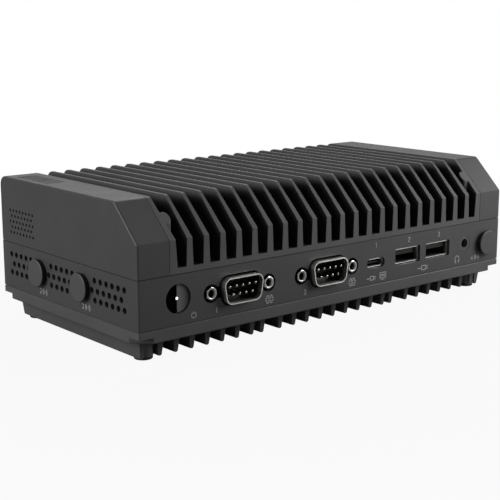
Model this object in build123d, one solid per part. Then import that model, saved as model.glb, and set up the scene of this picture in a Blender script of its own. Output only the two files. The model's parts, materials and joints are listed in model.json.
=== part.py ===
"""A fanless mini PC: a finned aluminium lid between two plastic end caps, a port band, a
finned bottom tray on four feet, and the boards, connectors and fasteners inside.

The frame: millimetres, +Z up, the front (power button, serial ports) faces -Y, +X is to
the right of it, and the origin is on the surface it stands on, midway between the feet.
"""
from build123d import *
import math
import os

# ---- overall sizes ------------------------------------------------------------------
CASE_W = 179.0          # left face to right face
CASE_D = 89.6           # front face to back face
LID_H = 24.0            # upper seam to the tops of the fins
BAND_H = 17.4           # lower seam to upper seam: the port band
RIM_H = 4.4             # depth of the bottom tray's rim
LOW_FIN_H = 6.7         # the bottom fins stand this far below the rim
FOOT_DROP = 0.7         # the feet stand this far below the bottom fins

# ---- walls and clearances -----------------------------------------------------------
BAND_WALL = 2.2         # wall of the port band
CAP_WALL = 1.8          # wall of the end caps
LIP_WALL = 1.2          # locating lip of the tray, inside the band
LIP_H = 1.5
LIP_GAP = 0.15
CORNER_R = 0.6          # vertical corners
SEAM_BEVEL = 0.25       # small bevel on the tray's upper edge
SEAM_GROOVE = (0.5, 0.3)    # depth and height of the groove that draws each seam
THREAD_GAP = 0.02       # radial room between a screw and the hole that it cuts into
SLIP_GAP = 0.08         # radial room of a plug's stem in its hole
SEAT_GAP = 0.05         # room between pieces that fit into each other

# ---- lid: fins, chamfer, end caps ---------------------------------------------------
CAP_W = 12.5            # width of each end cap
DECK_T = 2.0            # plate under the fins
FIN_PITCH = 6.885
FIN_ROOT_T = 3.0
FIN_TIP_T = 1.3
END_RIB_ROOT = 15.75    # slot side of the end rib, from the case's side, at the deck
END_RIB_TIP = 14.2      # the same at the top
CHAMFER_Y = 12.8        # front chamfer, front to back
CHAMFER_Z = 12.6        # and its height
TOP_FRONT_R = 2.0
TOP_BACK_R = 3.3
LID_BOSS_R = 1.8
LID_BOSS_INSET = (15.6, 6.5)
LID_BOSS_TOP = 18.5     # height of the two rear bosses above the upper seam
CAP_EDGE_R = 0.7
FIN_EDGE_R = 0.2        # small round on the lid's fin edges and at its seams with the caps

# ---- screws -------------------------------------------------------------------------
SCREW_R = 1.25          # M2.5 body
SCREW_CLEAR_R = 1.45
HEAD_R = 2.3
HEAD_H = 1.6
SOCKET_R = 0.85         # hexagonal socket in the head
SOCKET_DEPTH = 0.9
LUG_T = 2.0             # lugs at the top of the band
LUG_R = 3.6
CAP_SCREW_Y = (-22.0, 14.0)
CAP_SCREW_INSET = 6.6
CAP_BOSS_R = 2.7
CAP_BOSS_H = 8.0

# ---- bottom tray --------------------------------------------------------------------
TRAY_FLOOR_T = 2.2
LOW_FIN_INSET_FRONT = 6.8
LOW_FIN_INSET_SIDE = 4.2
LOW_FIN_INSET_BACK = 5.8
LOW_FIN_PITCH = 6.57
LOW_FIN_ROOT_T = 2.7
LOW_FIN_TIP_T = 1.5
LOW_FIN_TIP_R = 0.6
LOW_FIN_LEAN = 0.8      # the fins' ends lean in by this much from root to tip
LOW_FIN_FIRST = 12.7    # centre of the first fin inside the left wall
CORNER_CUT = 5.8        # the rim's corners are cut off by this much along each side
CORNER_CUT_TOP = 2.3    # from this far below its top
RIM_EDGE_R = 0.5
FOOT_INSET = (8.3, 10.0)
FOOT_POST_R = 3.3
FOOT_R = 3.2
FOOT_EDGE_R = 0.4
FOOT_CLEAR = 0.2        # the fins' tips stop this far short of each foot
FOOT_H = 1.1            # what shows of each foot, under its post
FOOT_STEM_H = 1.6
FOOT_HEAD_POCKET = 3.4  # depth of the screw head above the foot's stem
COLUMN_R = 3.0          # screw columns in the band's corners
COLUMN_H = 13.0
BRACKET_X = 32.7        # threaded bracket holes under the tray, half spacing
BRACKET_Y = 25.0
BRACKET_BOSS_R = 3.0
BRACKET_HOLE_R = 1.25   # tapping size of M3
BRACKET_HOLE_DEPTH = 7.0

# ---- main board ---------------------------------------------------------------------
BOARD_T = 1.6
BOARD_RISE = 3.6        # underside of the board above the lower seam
BOARD_SIDE_INSET = 12.5
BOARD_BACK_INSET = 3.4
BOARD_FRONT_GAP = 0.4   # room between the board and the pressed button's flange
STANDOFF_R = 2.6
STANDOFF_INSET = (23.0, 22.0)

# ---- front ports: x from the middle of the case, z from the lower seam ---------------
BUTTON_INSET = 15.75
BUTTON_Z = 9.1
BUTTON_HOLE_R = 5.0
BUTTON_R = 4.8
BUTTON_FACE = 0.35      # the button's face lies this far inside the panel
BUTTON_VALLEY = 0.55    # depth of the shallow valley across its face
BUTTON_FLANGE_R = 5.6
BUTTON_FLANGE_T = 1.0
BUTTON_TRAVEL = 0.6
LIGHT_R = 0.5
SWITCH_W = 6.0
SERIAL_X = (-47.8, -7.45)
SERIAL_Z = 8.7
SERIAL_SCREW_HALF = 12.495
SERIAL_INNER = (16.92, 8.36)
SERIAL_WALL = 0.45
SERIAL_R = 2.3
SERIAL_DRAFT = 10.0     # slope of the D's short sides, degrees
SERIAL_PROUD = 2.3
SERIAL_DEPTH = 5.9
SERIAL_FLANGE = (30.8, 12.5, 0.5)
SERIAL_BODY = (19.2, 10.8, 7.0)
SERIAL_OPENING_GAP = 0.7
PIN_R = 0.5
PIN_PITCH_X = 2.77
PIN_PITCH_Z = 2.84
JACKSCREW_AF = 4.1
JACKSCREW_PROUD = 0.4
JACKSCREW_HOLE_R = 1.14
JACKSCREW_STUD = 4.0
JACKSCREW_OPENING_R = 3.2
USB_C_X = 17.6
USB_C_Z = 8.2
USB_C_OPENING = (9.5, 3.8)
USB_C_SHELL = (8.94, 3.16)
USB_C_TONGUE = (6.7, 0.7)
USB_C_DEPTH = 8.0
USB_A_X = (35.0, 52.1)
USB_A_Z = 8.8
USB_A_OPENING = (13.9, 6.4)
USB_A_SHELL = (13.1, 5.72)
USB_A_TONGUE = (11.1, 1.84)
USB_A_TONGUE_RISE = 0.3
USB_A_DEPTH = 14.0
SHELL_WALL = 0.3
SHELL_SETBACK = 0.9     # sockets' shells lie this far inside the band's face
HEADSET_X = 68.3
HEADSET_Z = 9.1
HEADSET_RING_R = 2.95
HEADSET_BORE_R = 1.85
HEADSET_BODY = (6.6, 7.6, 12.0)
PLUG_CAP_R = 5.1        # antenna hole plugs
PLUG_CAP_T = 2.0
PLUG_NECK_R = 4.6       # narrower neck under the cap's rim
PLUG_RIM_T = 0.9
PLUG_STEM_R = 3.2
PLUG_STEM_L = 5.0
PLUG_EDGE_R = 0.5
FRONT_PLUG_INSET = 8.5
FRONT_PLUG_Z = 8.0
SIDE_PLUG_Y = (-11.1, 17.6)
SIDE_PLUG_Z = 9.4

# ---- back ports ---------------------------------------------------------------------
DC_X = -66.0
DC_Z = 9.0
DC_BODY = (9.6, 11.0, 13.0)
DC_NOSE_R = 4.2
DC_BORE_R = 3.1
DC_PIN_R = 1.0
DC_PIN_ROOT = 0.2       # the pin is this much thicker where the housing holds it
DC_BORE_DEPTH = 9.5
LAN_X = (-41.0, -22.0)
LAN_OUTER = (16.0, 11.6)
LAN_INNER = (12.0, 8.2)
LAN_DEPTH = 15.0
LAN_CONTACTS = 8
LAN_CONTACT_PITCH = 1.02
VIDEO_X = 3.0
VIDEO_Z = 8.4
VIDEO_SHELL = (15.0, 5.6)
VIDEO_TONGUE = (12.0, 1.3)
VIDEO_DEPTH = 11.0
LOCK_X = 34.0
LOCK_SLOT = (3.0, 7.0)
BACK_PLUG_X = 66.0

# ---- vents --------------------------------------------------------------------------
VENT_R = 1.1
VENT_PITCH = 3.57
VENT_Z = (12.9, 9.4, 6.1)
VENT_END = 6.8          # last hole of the long rows, from the back face
VENT_FRONT = 7.8
SPEAKER_HOLE_R = 0.55
SPEAKER_PITCH = 2.34
SPEAKER_ROW = 2.03
SPEAKER_ROWS = (8, 7, 8, 7, 8)
SPEAKER_BACK = 7.1      # last hole, from the back face
SPEAKER_TOP = 12.0      # top row, above the upper seam
BADGE = (7.6, 22.0, 0.5)
BADGE_INSET = (6.4, 19.6)

# ---- levels and edges that follow ---------------------------------------------------
LEFT, RIGHT = -CASE_W / 2, CASE_W / 2
FRONT, BACK = -CASE_D / 2, CASE_D / 2
Z_TIP = FOOT_DROP
Z_RIM = Z_TIP + LOW_FIN_H
Z_SEAM = Z_RIM + RIM_H
Z_DECK = Z_SEAM + BAND_H
Z_TOP = Z_DECK + LID_H
Z_BOARD = Z_SEAM + BOARD_RISE + BOARD_T
INNER_FRONT, INNER_BACK = FRONT + BAND_WALL, BACK - BAND_WALL
FLANGE_BACK = INNER_FRONT + SEAT_GAP + BUTTON_FLANGE_T      # back of the power button's flange
BOARD_FRONT = FLANGE_BACK + BUTTON_TRAVEL + BOARD_FRONT_GAP
SIDES = (-1, 1)


# ---- small helpers ------------------------------------------------------------------
def block(x0, x1, y0, y1, z0, z1):
    """A box from its lowest corner to its highest."""
    size = Box(x1 - x0, y1 - y0, z1 - z0)
    return Pos((x0 + x1) / 2, (y0 + y1) / 2, (z0 + z1) / 2) * size


def post(x, y, z0, z1, r):
    """An upright cylinder."""
    return Pos(x, y, (z0 + z1) / 2) * Cylinder(r, z1 - z0)


def rod_y(x, z, y0, y1, r):
    """A cylinder that runs front to back."""
    return Pos(x, (y0 + y1) / 2, z) * Rot(90, 0, 0) * Cylinder(r, y1 - y0)


def rod_x(y, z, x0, x1, r):
    """A cylinder that runs left to right."""
    return Pos((x0 + x1) / 2, y, z) * Rot(0, 90, 0) * Cylinder(r, x1 - x0)


def from_front(sketch, x, z, y0, y1):
    """A flat outline, seen from the front, extruded from y0 back to y1."""
    plane = Plane(origin=(x, y1, z), x_dir=(1, 0, 0), z_dir=(0, -1, 0))
    return extrude(plane * sketch, y1 - y0)


def slot_outline(width, height):
    """A rectangle with fully round ends."""
    return RectangleRounded(width, height, height / 2 - 0.001)


def four_corners(inset):
    """The four points at a given distance in from the case's sides and ends."""
    x, y = CASE_W / 2 - inset[0], CASE_D / 2 - inset[1]
    return [(sx * x, sy * y) for sx in SIDES for sy in SIDES]


def screw(x, y, seat, length, turn=1):
    """A socket screw, its head's flat face at the seat; turn=1 points the shank up."""
    head = post(0, 0, -HEAD_H, 0, HEAD_R)
    shank = post(0, 0, 0, length, SCREW_R)
    tool = Pos(0, 0, -HEAD_H) * extrude(RegularPolygon(SOCKET_R, 6), SOCKET_DEPTH)
    shape = head + shank - tool
    if turn < 0:
        shape = Rot(180, 0, 0) * shape
    return Pos(x, y, seat) * shape


def lid_outline():
    """The lid's side view: upright front, wide chamfer, flat top, round back edge."""
    corners = [
        (FRONT, Z_DECK),
        (FRONT, Z_TOP - CHAMFER_Z),
        (FRONT + CHAMFER_Y, Z_TOP),
        (BACK, Z_TOP),
        (BACK, Z_DECK),
    ]
    face = make_face(Polyline(*corners, close=True))
    top_front = face.vertices().sort_by_distance((FRONT + CHAMFER_Y, Z_TOP, 0))[0]
    face = fillet(top_front, TOP_FRONT_R)
    top_back = face.vertices().sort_by_distance((BACK, Z_TOP, 0))[0]
    return fillet(top_back, TOP_BACK_R)


def lid_block(x0, x1, inset=0.0):
    """The lid's side view extruded from x0 to x1, shrunk all round by inset."""
    outline = lid_outline()
    if inset:
        outline = offset(outline, amount=-inset)
    plane = Plane(origin=(x0, 0, 0), x_dir=(0, 1, 0), z_dir=(1, 0, 0))
    return extrude(plane * outline, x1 - x0)


# ---- the lid ------------------------------------------------------------------------
def fin_walls():
    """Each upright wall of the lid as (left root, right root, left tip, right tip)."""
    reach = CASE_W / 2 - END_RIB_ROOT - FIN_ROOT_T / 2
    per_side = int(reach / FIN_PITCH)
    rib_root, rib_tip = LEFT + END_RIB_ROOT, LEFT + END_RIB_TIP
    walls = [(LEFT + CAP_W, rib_root, LEFT + CAP_W, rib_tip)]
    for k in range(-per_side, per_side + 1):
        x = k * FIN_PITCH
        root, tip = FIN_ROOT_T / 2, FIN_TIP_T / 2
        walls.append((x - root, x + root, x - tip, x + tip))
    walls.append((-rib_root, RIGHT - CAP_W, -rib_tip, RIGHT - CAP_W))
    return walls


def top_heatsink():
    """Finned lid, with the pedestal that reaches down to the processor's spreader."""
    lid = lid_block(LEFT + CAP_W, RIGHT - CAP_W)
    walls = fin_walls()
    floor = Z_DECK + DECK_T
    over = 1.0
    slots = []
    for a, b in zip(walls, walls[1:]):
        grow = over / (Z_TOP - floor)
        left_top = a[3] + (a[3] - a[1]) * grow
        right_top = b[2] + (b[2] - b[0]) * grow
        corners = [(a[1], floor), (b[0], floor), (right_top, Z_TOP + over), (left_top, Z_TOP + over)]
        outline = make_face(Polyline(*corners, close=True))
        slots.append(from_front(outline, 0, 0, FRONT - over, BACK + over))
    lid -= slots
    solid_lid = lid_block(LEFT + CAP_W, RIGHT - CAP_W)
    for x, y in four_corners(LID_BOSS_INSET):
        top = Z_TOP if y < 0 else Z_DECK + LID_BOSS_TOP
        lid += post(x, y, Z_DECK, top, LID_BOSS_R) & solid_lid
    half = PEDESTAL / 2
    lid += block(CPU_X - half, CPU_X + half, CPU_Y - half, CPU_Y + half, Z_PAD_TOP, Z_DECK)
    lid = fillet([e for e in lid.edges() if e.bounding_box().max.Z > floor + 0.1], FIN_EDGE_R)
    for x, y in four_corners(LID_BOSS_INSET):
        lid -= post(x, y, Z_DECK, Z_DECK + LID_SCREW_L, SCREW_R + THREAD_GAP)
    return lid


def end_cap(side):
    """Plastic shell at one end of the lid, open towards the lid."""
    x_out = side * CASE_W / 2
    x_in = side * (CASE_W / 2 - CAP_W)
    x0, x1 = sorted((x_out, x_in))
    cap = lid_block(x0, x1)
    rim = cap.faces().sort_by(Axis.X)[0 if side < 0 else -1].edges()
    rim = [e for e in rim if e.center().Z > Z_DECK + 0.1]
    cap = fillet(rim, CAP_EDGE_R)
    joint = cap.faces().sort_by(Axis.X)[-1 if side < 0 else 0].edges()
    cap = fillet([e for e in joint if e.center().Z > Z_DECK + 0.1], FIN_EDGE_R)
    inner = sorted((x_out - side * CAP_WALL, x_in + side * -1.0))
    cap -= lid_block(inner[0], inner[1], CAP_WALL)
    x = side * (CASE_W / 2 - CAP_SCREW_INSET)
    for y in CAP_SCREW_Y:
        cap += post(x, y, Z_DECK, Z_DECK + CAP_BOSS_H, CAP_BOSS_R)
        cap -= post(x, y, Z_DECK, Z_DECK + CAP_SCREW_L, SCREW_R + THREAD_GAP)
    return cap


def left_end_cap():
    """The left cap, with the speaker's holes and a shallow seat for the badge."""
    cap = end_cap(-1)
    holes = []
    for row, count in enumerate(SPEAKER_ROWS):
        z = Z_DECK + SPEAKER_TOP - row * SPEAKER_ROW
        start = BACK - SPEAKER_BACK - (SPEAKER_PITCH / 2 if count % 2 else 0.0)
        for k in range(count):
            y = start - k * SPEAKER_PITCH
            holes.append(rod_x(y, z, LEFT - 1, LEFT + CAP_WALL + 0.5, SPEAKER_HOLE_R))
    cap -= holes
    x, y = LEFT + BADGE_INSET[0], BACK - BADGE_INSET[1]
    w, d = BADGE[0] / 2 + SEAT_GAP, BADGE[1] / 2 + SEAT_GAP
    cap -= block(x - w, x + w, y - d, y + d, Z_TOP - BADGE[2], Z_TOP + 1)
    return cap


def badge_plate():
    """Blank plate set flush in the left cap's top."""
    x, y = LEFT + BADGE_INSET[0], BACK - BADGE_INSET[1]
    w, d = BADGE[0] / 2, BADGE[1] / 2
    plate = block(x - w, x + w, y - d, y + d, Z_TOP - BADGE[2], Z_TOP)
    return fillet(plate.edges().filter_by(Axis.Z), 0.8)


# ---- the port band ------------------------------------------------------------------
def d_outline(width, height, radius):
    """A D-shaped outline, wide side up, its short sides sloped."""
    lean = math.tan(math.radians(SERIAL_DRAFT)) * height / 2
    w, h = width / 2, height / 2
    corners = [(-w, h), (w, h), (w - 2 * lean, -h), (-w + 2 * lean, -h)]
    face = make_face(Polyline(*corners, close=True))
    return fillet(face.vertices(), radius)


def serial_openings():
    """Cut-outs in the band for both serial ports and their jackscrews."""
    cuts = []
    grow = 2 * (SERIAL_WALL + SERIAL_OPENING_GAP)
    width, height = SERIAL_INNER[0] + grow, SERIAL_INNER[1] + grow
    radius = SERIAL_R + SERIAL_WALL + SERIAL_OPENING_GAP
    for x in SERIAL_X:
        z = Z_SEAM + SERIAL_Z
        outline = d_outline(width, height, radius)
        cuts.append(from_front(outline, x, z, FRONT - 1, INNER_FRONT + 1))
        for side in SIDES:
            at = x + side * SERIAL_SCREW_HALF
            cuts.append(rod_y(at, z, FRONT - 1, INNER_FRONT + 1, JACKSCREW_OPENING_R))
        bridge = SERIAL_SCREW_HALF
        cuts.append(block(x - bridge, x + bridge, FRONT - 1, INNER_FRONT + 1, z - 2.0, z + 2.0))
    return cuts


def vent_holes(side):
    """Three staggered rows of holes in one side wall, clear of the antenna plugs."""
    holes = []
    x0, x1 = sorted((side * (CASE_W / 2 + 1), side * (CASE_W / 2 - BAND_WALL - 1)))
    length = CASE_D - VENT_END - VENT_FRONT
    places = int(length / VENT_PITCH + 0.5) + 1
    for row, z in enumerate(VENT_Z):
        shift = VENT_PITCH / 2 if row == 1 else 0.0
        for k in range(places - row % 2):
            y = BACK - VENT_END - shift - k * VENT_PITCH
            clear = [math.hypot(y - py, z - SIDE_PLUG_Z) for py in SIDE_PLUG_Y]
            if side > 0 or min(clear) > PLUG_CAP_R + VENT_R:
                holes.append(rod_x(y, Z_SEAM + z, x0, x1, VENT_R))
    return holes


def mid_frame():
    """The port band: a ring of four walls with lugs, screw columns and all openings."""
    ring = block(LEFT, RIGHT, FRONT, BACK, Z_SEAM, Z_DECK)
    ring = fillet(ring.edges().filter_by(Axis.Z), CORNER_R)
    d, h = SEAM_GROOVE
    for z0, z1 in ((Z_SEAM, Z_SEAM + h), (Z_DECK - h, Z_DECK)):
        core = block(LEFT + d, RIGHT - d, FRONT + d, BACK - d, z0, z1)
        ring -= block(LEFT - 1, RIGHT + 1, FRONT - 1, BACK + 1, z0, z1) - core
    w = BAND_WALL
    ring -= block(LEFT + w, RIGHT - w, INNER_FRONT, INNER_BACK, Z_SEAM - 1, Z_DECK + 1)

    lug_z = Z_DECK - LUG_T
    inside = block(LEFT + w / 2, RIGHT - w / 2, FRONT + w / 2, BACK - w / 2, Z_SEAM, Z_DECK)
    for x, y in four_corners(LID_BOSS_INSET):
        end = math.copysign(CASE_D / 2, y)
        y0, y1 = sorted((y, end))
        lug = post(x, y, lug_z, Z_DECK, LUG_R)
        lug += block(x - LUG_R, x + LUG_R, y0, y1, lug_z, Z_DECK)
        ring += lug & inside
        ring -= post(x, y, lug_z - 1, Z_DECK + 1, SCREW_CLEAR_R)
    for side in SIDES:
        x = side * (CASE_W / 2 - CAP_SCREW_INSET)
        x0, x1 = sorted((x, side * CASE_W / 2))
        for y in CAP_SCREW_Y:
            lug = post(x, y, lug_z, Z_DECK, LUG_R)
            lug += block(x0, x1, y - LUG_R, y + LUG_R, lug_z, Z_DECK)
            ring += lug & inside
            ring -= post(x, y, lug_z - 1, Z_DECK + 1, SCREW_CLEAR_R)

    for x, y in four_corners(FOOT_INSET):
        x0, x1 = sorted((x, math.copysign(CASE_W / 2, x)))
        column = post(x, y, Z_SEAM, Z_SEAM + COLUMN_H, COLUMN_R)
        column += block(x0, x1, y - 1.0, y + 1.0, Z_SEAM + LIP_H + 0.5, Z_SEAM + COLUMN_H)
        ring += column & inside
        ring -= post(x, y, Z_SEAM - 1, Z_SEAM + TRAY_SCREW_BITE, SCREW_R + THREAD_GAP)

    z = Z_SEAM
    ring -= rod_y(LEFT + BUTTON_INSET, z + BUTTON_Z, FRONT - 1, INNER_FRONT + 1, BUTTON_HOLE_R)
    ring -= serial_openings()
    usb_c = slot_outline(*USB_C_OPENING)
    ring -= from_front(usb_c, USB_C_X, z + USB_C_Z, FRONT - 1, INNER_FRONT + 1)
    usb_a = RectangleRounded(*USB_A_OPENING, 0.6)
    for x in USB_A_X:
        ring -= from_front(usb_a, x, z + USB_A_Z, FRONT - 1, INNER_FRONT + 1)
    ring -= rod_y(HEADSET_X, z + HEADSET_Z, FRONT - 1, INNER_FRONT + 1, HEADSET_RING_R + SEAT_GAP)
    stem = PLUG_STEM_R + SLIP_GAP
    ring -= rod_y(RIGHT - FRONT_PLUG_INSET, z + FRONT_PLUG_Z, FRONT - 1, INNER_FRONT + 1, stem)
    ring -= rod_y(BACK_PLUG_X, z + SIDE_PLUG_Z, INNER_BACK - 1, BACK + 1, stem)
    for y in SIDE_PLUG_Y:
        ring -= rod_x(y, z + SIDE_PLUG_Z, LEFT - 1, LEFT + w + 1, stem)
    for side in SIDES:
        ring -= vent_holes(side)

    ring -= rod_y(DC_X, z + DC_Z, INNER_BACK - 1, BACK + 1, DC_NOSE_R + SEAT_GAP)
    lan = Rectangle(LAN_OUTER[0] + 0.4, LAN_OUTER[1] + 0.4)
    for x in LAN_X:
        ring -= from_front(lan, x, z + LAN_Z, INNER_BACK - 1, BACK + 1)
    video = RectangleRounded(VIDEO_SHELL[0] + 0.6, VIDEO_SHELL[1] + 0.6, 0.6)
    ring -= from_front(video, VIDEO_X, z + VIDEO_Z, INNER_BACK - 1, BACK + 1)
    lock = RectangleRounded(LOCK_SLOT[1], LOCK_SLOT[0], 0.8)
    ring -= from_front(lock, LOCK_X, z + SIDE_PLUG_Z, INNER_BACK - 1, BACK + 1)
    return ring


# ---- the bottom tray ----------------------------------------------------------------
def low_fin_centres():
    """Fin centres at an even pitch; a fin near a row of bracket bosses moves onto it."""
    last = RIGHT - LOW_FIN_INSET_SIDE - LOW_FIN_ROOT_T * 1.5
    centres = []
    x = LEFT + LOW_FIN_FIRST
    while x < last:
        near = [s * BRACKET_X for s in SIDES if abs(x - s * BRACKET_X) < 0.4 * LOW_FIN_PITCH]
        centres.append(near[0] if near else x)
        x += LOW_FIN_PITCH
    side = CASE_W / 2 - LOW_FIN_INSET_SIDE - LOW_FIN_ROOT_T / 2
    return [-side] + centres + [side]


def low_fin(x):
    """One bottom fin: a tapered wall that runs front to back."""
    root, tip = LOW_FIN_ROOT_T / 2, LOW_FIN_TIP_T / 2
    corners = [(x - root, Z_RIM), (x + root, Z_RIM), (x + tip, Z_TIP), (x - tip, Z_TIP)]
    outline = make_face(Polyline(*corners, close=True))
    outline = fillet(outline.vertices().sort_by(Axis.Y)[:2], LOW_FIN_TIP_R)
    return from_front(outline, 0, 0, FRONT, BACK)


def low_fin_side():
    """Side view of the bottom fins, whose ends lean in towards the tips, across the case."""
    y0, y1 = FRONT + LOW_FIN_INSET_FRONT, BACK - LOW_FIN_INSET_BACK
    lean = LOW_FIN_LEAN
    corners = [(y0 - lean, Z_RIM), (y1 + lean, Z_RIM), (y1, Z_TIP), (y0, Z_TIP)]
    plane = Plane(origin=(LEFT, 0, 0), x_dir=(0, 1, 0), z_dir=(1, 0, 0))
    return extrude(plane * make_face(Polyline(*corners, close=True)), CASE_W)


def bottom_tray():
    """Finned aluminium tray with foot posts, board standoffs and bracket bosses."""
    rim = block(LEFT, RIGHT, FRONT, BACK, Z_RIM, Z_SEAM)
    rim = fillet(rim.edges().filter_by(Axis.Z), CORNER_R)
    over = 2.0
    reach = CORNER_CUT + over
    for sx in SIDES:
        for sy in SIDES:
            x, y = sx * (CASE_W / 2 + over), sy * (CASE_D / 2 + over)
            corners = [(x, y), (x, y - sy * (reach + over)), (x - sx * (reach + over), y)]
            outline = make_face(Polyline(*corners, close=True))
            rim -= Pos(0, 0, Z_RIM - over) * extrude(outline, over + RIM_H - CORNER_CUT_TOP)
    rim = fillet(rim.faces().sort_by(Axis.Z)[0].edges(), RIM_EDGE_R)
    rim = chamfer(rim.faces().sort_by(Axis.Z)[-1].edges(), SEAM_BEVEL)
    lip = BAND_WALL + LIP_GAP
    rim += block(LEFT + lip, RIGHT - lip, FRONT + lip, BACK - lip, Z_SEAM - 0.5, Z_SEAM + LIP_H)
    hollow = lip + LIP_WALL
    floor = Z_RIM + TRAY_FLOOR_T
    rim -= block(LEFT + hollow, RIGHT - hollow, FRONT + hollow, BACK - hollow, floor, Z_SEAM + LIP_H + 1)
    tray = rim + [low_fin(x) & low_fin_side() for x in low_fin_centres()]

    for x, y in four_corners(FOOT_INSET):
        tray -= post(x, y, 0, FOOT_H, FOOT_R + FOOT_CLEAR)
        tray += post(x, y, FOOT_H, Z_RIM + 0.5, FOOT_POST_R)
        tray += post(x, y, floor - 0.5, Z_SEAM, FOOT_POST_R)
        tray -= post(x, y, 0, FOOT_SEAT_Z, HEAD_R + 0.2)
        tray -= post(x, y, 0, Z_SEAM + LIP_H + 1, SCREW_CLEAR_R)
    for x, y in four_corners(STANDOFF_INSET):
        tray += post(x, y, floor - 0.5, Z_SEAM + BOARD_RISE, STANDOFF_R)
        tray -= post(x, y, floor, Z_SEAM + BOARD_RISE + 1, SCREW_R + THREAD_GAP)
    for sx in SIDES:
        for sy in SIDES:
            x, y = sx * BRACKET_X, sy * BRACKET_Y
            tray += post(x, y, Z_TIP, Z_RIM + 0.5, BRACKET_BOSS_R)
            tray -= post(x, y, 0, Z_TIP + BRACKET_HOLE_DEPTH, BRACKET_HOLE_R)
    return tray


def rubber_feet():
    """Four feet: a disc under each post, with a stem that plugs the screw's pocket."""
    feet = []
    for x, y in four_corners(FOOT_INSET):
        disc = post(x, y, 0, FOOT_H, FOOT_R)
        disc = fillet(disc.edges().sort_by(Axis.Z)[0], FOOT_EDGE_R)
        feet.append(disc + post(x, y, FOOT_H - 0.2, FOOT_H + FOOT_STEM_H, HEAD_R + 0.15))
    return Compound(children=feet)


# ---- fasteners ----------------------------------------------------------------------
FOOT_SEAT_Z = FOOT_H + FOOT_STEM_H + FOOT_HEAD_POCKET
TRAY_SCREW_BITE = 9.0
LID_SCREW_L = 9.0
CAP_SCREW_L = 6.0
BOARD_SCREW_L = 5.0


def tray_screws():
    """Four long screws that hold the tray to the band, hidden above the feet."""
    length = Z_SEAM + TRAY_SCREW_BITE - 1.0 - FOOT_SEAT_Z
    return Compound(children=[screw(x, y, FOOT_SEAT_Z, length) for x, y in four_corners(FOOT_INSET)])


def lid_screws():
    """Four screws up through the band's lugs into the lid's bosses."""
    seat = Z_DECK - LUG_T
    length = LUG_T + LID_SCREW_L - 1.0
    return Compound(children=[screw(x, y, seat, length) for x, y in four_corners(LID_BOSS_INSET)])


def cap_screws():
    """Two screws for each end cap, up through the band's side lugs."""
    seat = Z_DECK - LUG_T
    length = LUG_T + CAP_SCREW_L - 1.0
    places = [(s * (CASE_W / 2 - CAP_SCREW_INSET), y) for s in SIDES for y in CAP_SCREW_Y]
    return Compound(children=[screw(x, y, seat, length) for x, y in places])


def board_screws():
    """Four screws down through the board into the tray's standoffs."""
    places = four_corners(STANDOFF_INSET)
    return Compound(children=[screw(x, y, Z_BOARD, BOARD_SCREW_L, -1) for x, y in places])


# ---- power button -------------------------------------------------------------------
BUTTON_X = LEFT + BUTTON_INSET
STEM_END = INNER_FRONT + BUTTON_TRAVEL + BUTTON_FLANGE_T + 2.0
PLUNGER_R = 1.2
PLUNGER_L = 1.6


def power_button():
    """Round button with a shallow valley across its face, a flange and a stem."""
    z = Z_SEAM + BUTTON_Z
    face = FRONT + BUTTON_FACE
    flange = INNER_FRONT + SEAT_GAP
    button = rod_y(BUTTON_X, z, face, flange + 0.1, BUTTON_R)
    r = BUTTON_R + 0.2
    corners = [(-r, -1.0), (r, -1.0), (r, 0.0), (0.0, BUTTON_VALLEY), (-r, 0.0)]
    valley = Pos(BUTTON_X, face, z - r) * extrude(make_face(Polyline(*corners, close=True)), 2 * r)
    button -= valley
    button += rod_y(BUTTON_X, z, flange, flange + BUTTON_FLANGE_T, BUTTON_FLANGE_R)
    button += rod_y(BUTTON_X, z, flange + BUTTON_FLANGE_T - 0.1, STEM_END, 2.0)
    button -= rod_y(BUTTON_X, z, FRONT - 1, STEM_END + 1, LIGHT_R + SEAT_GAP)
    return button


def power_light_pipe():
    """Clear rod through the middle of the button."""
    z = Z_SEAM + BUTTON_Z
    return rod_y(BUTTON_X, z, FRONT + BUTTON_FACE + BUTTON_VALLEY - 0.1, STEM_END, LIGHT_R)


def power_switch_plunger():
    """The switch's moving plunger, behind the button's stem."""
    z = Z_SEAM + BUTTON_Z
    return rod_y(BUTTON_X, z, STEM_END, STEM_END + PLUNGER_L + BUTTON_TRAVEL, PLUNGER_R)


def power_switch_body():
    """Upright push switch on the board, with a bore for its plunger."""
    z = Z_SEAM + BUTTON_Z
    y0 = STEM_END + BUTTON_TRAVEL + 0.3
    half = SWITCH_W / 2
    body = block(BUTTON_X - half, BUTTON_X + half, y0, y0 + 4.0, Z_BOARD, z + half)
    body -= rod_y(BUTTON_X, z, y0 - 1, y0 + PLUNGER_L + BUTTON_TRAVEL, PLUNGER_R + SLIP_GAP)
    return body


# ---- connectors ---------------------------------------------------------------------
def box_shell(width, height, depth, radius, wall):
    """A connector's metal shell: a rounded tube along +Y from y=0, open in front."""
    outer = from_front(RectangleRounded(width, height, radius), 0, 0, 0, depth)
    core = RectangleRounded(width - 2 * wall, height - 2 * wall, max(radius - wall, 0.05))
    return outer - from_front(core, 0, 0, -1, depth + 1)


def tongue_and_base(shell, tongue, rise, depth, setback, radius):
    """A connector's tongue, with the base that closes the back of its shell."""
    gap = SHELL_WALL + SEAT_GAP
    base_t = 1.6
    base = RectangleRounded(shell[0] - 2 * gap, shell[1] - 2 * gap, radius)
    piece = from_front(base, 0, 0, depth - base_t, depth)
    piece += block(-tongue[0] / 2, tongue[0] / 2, setback, depth - base_t / 2, rise, rise + tongue[1])
    return piece


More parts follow.
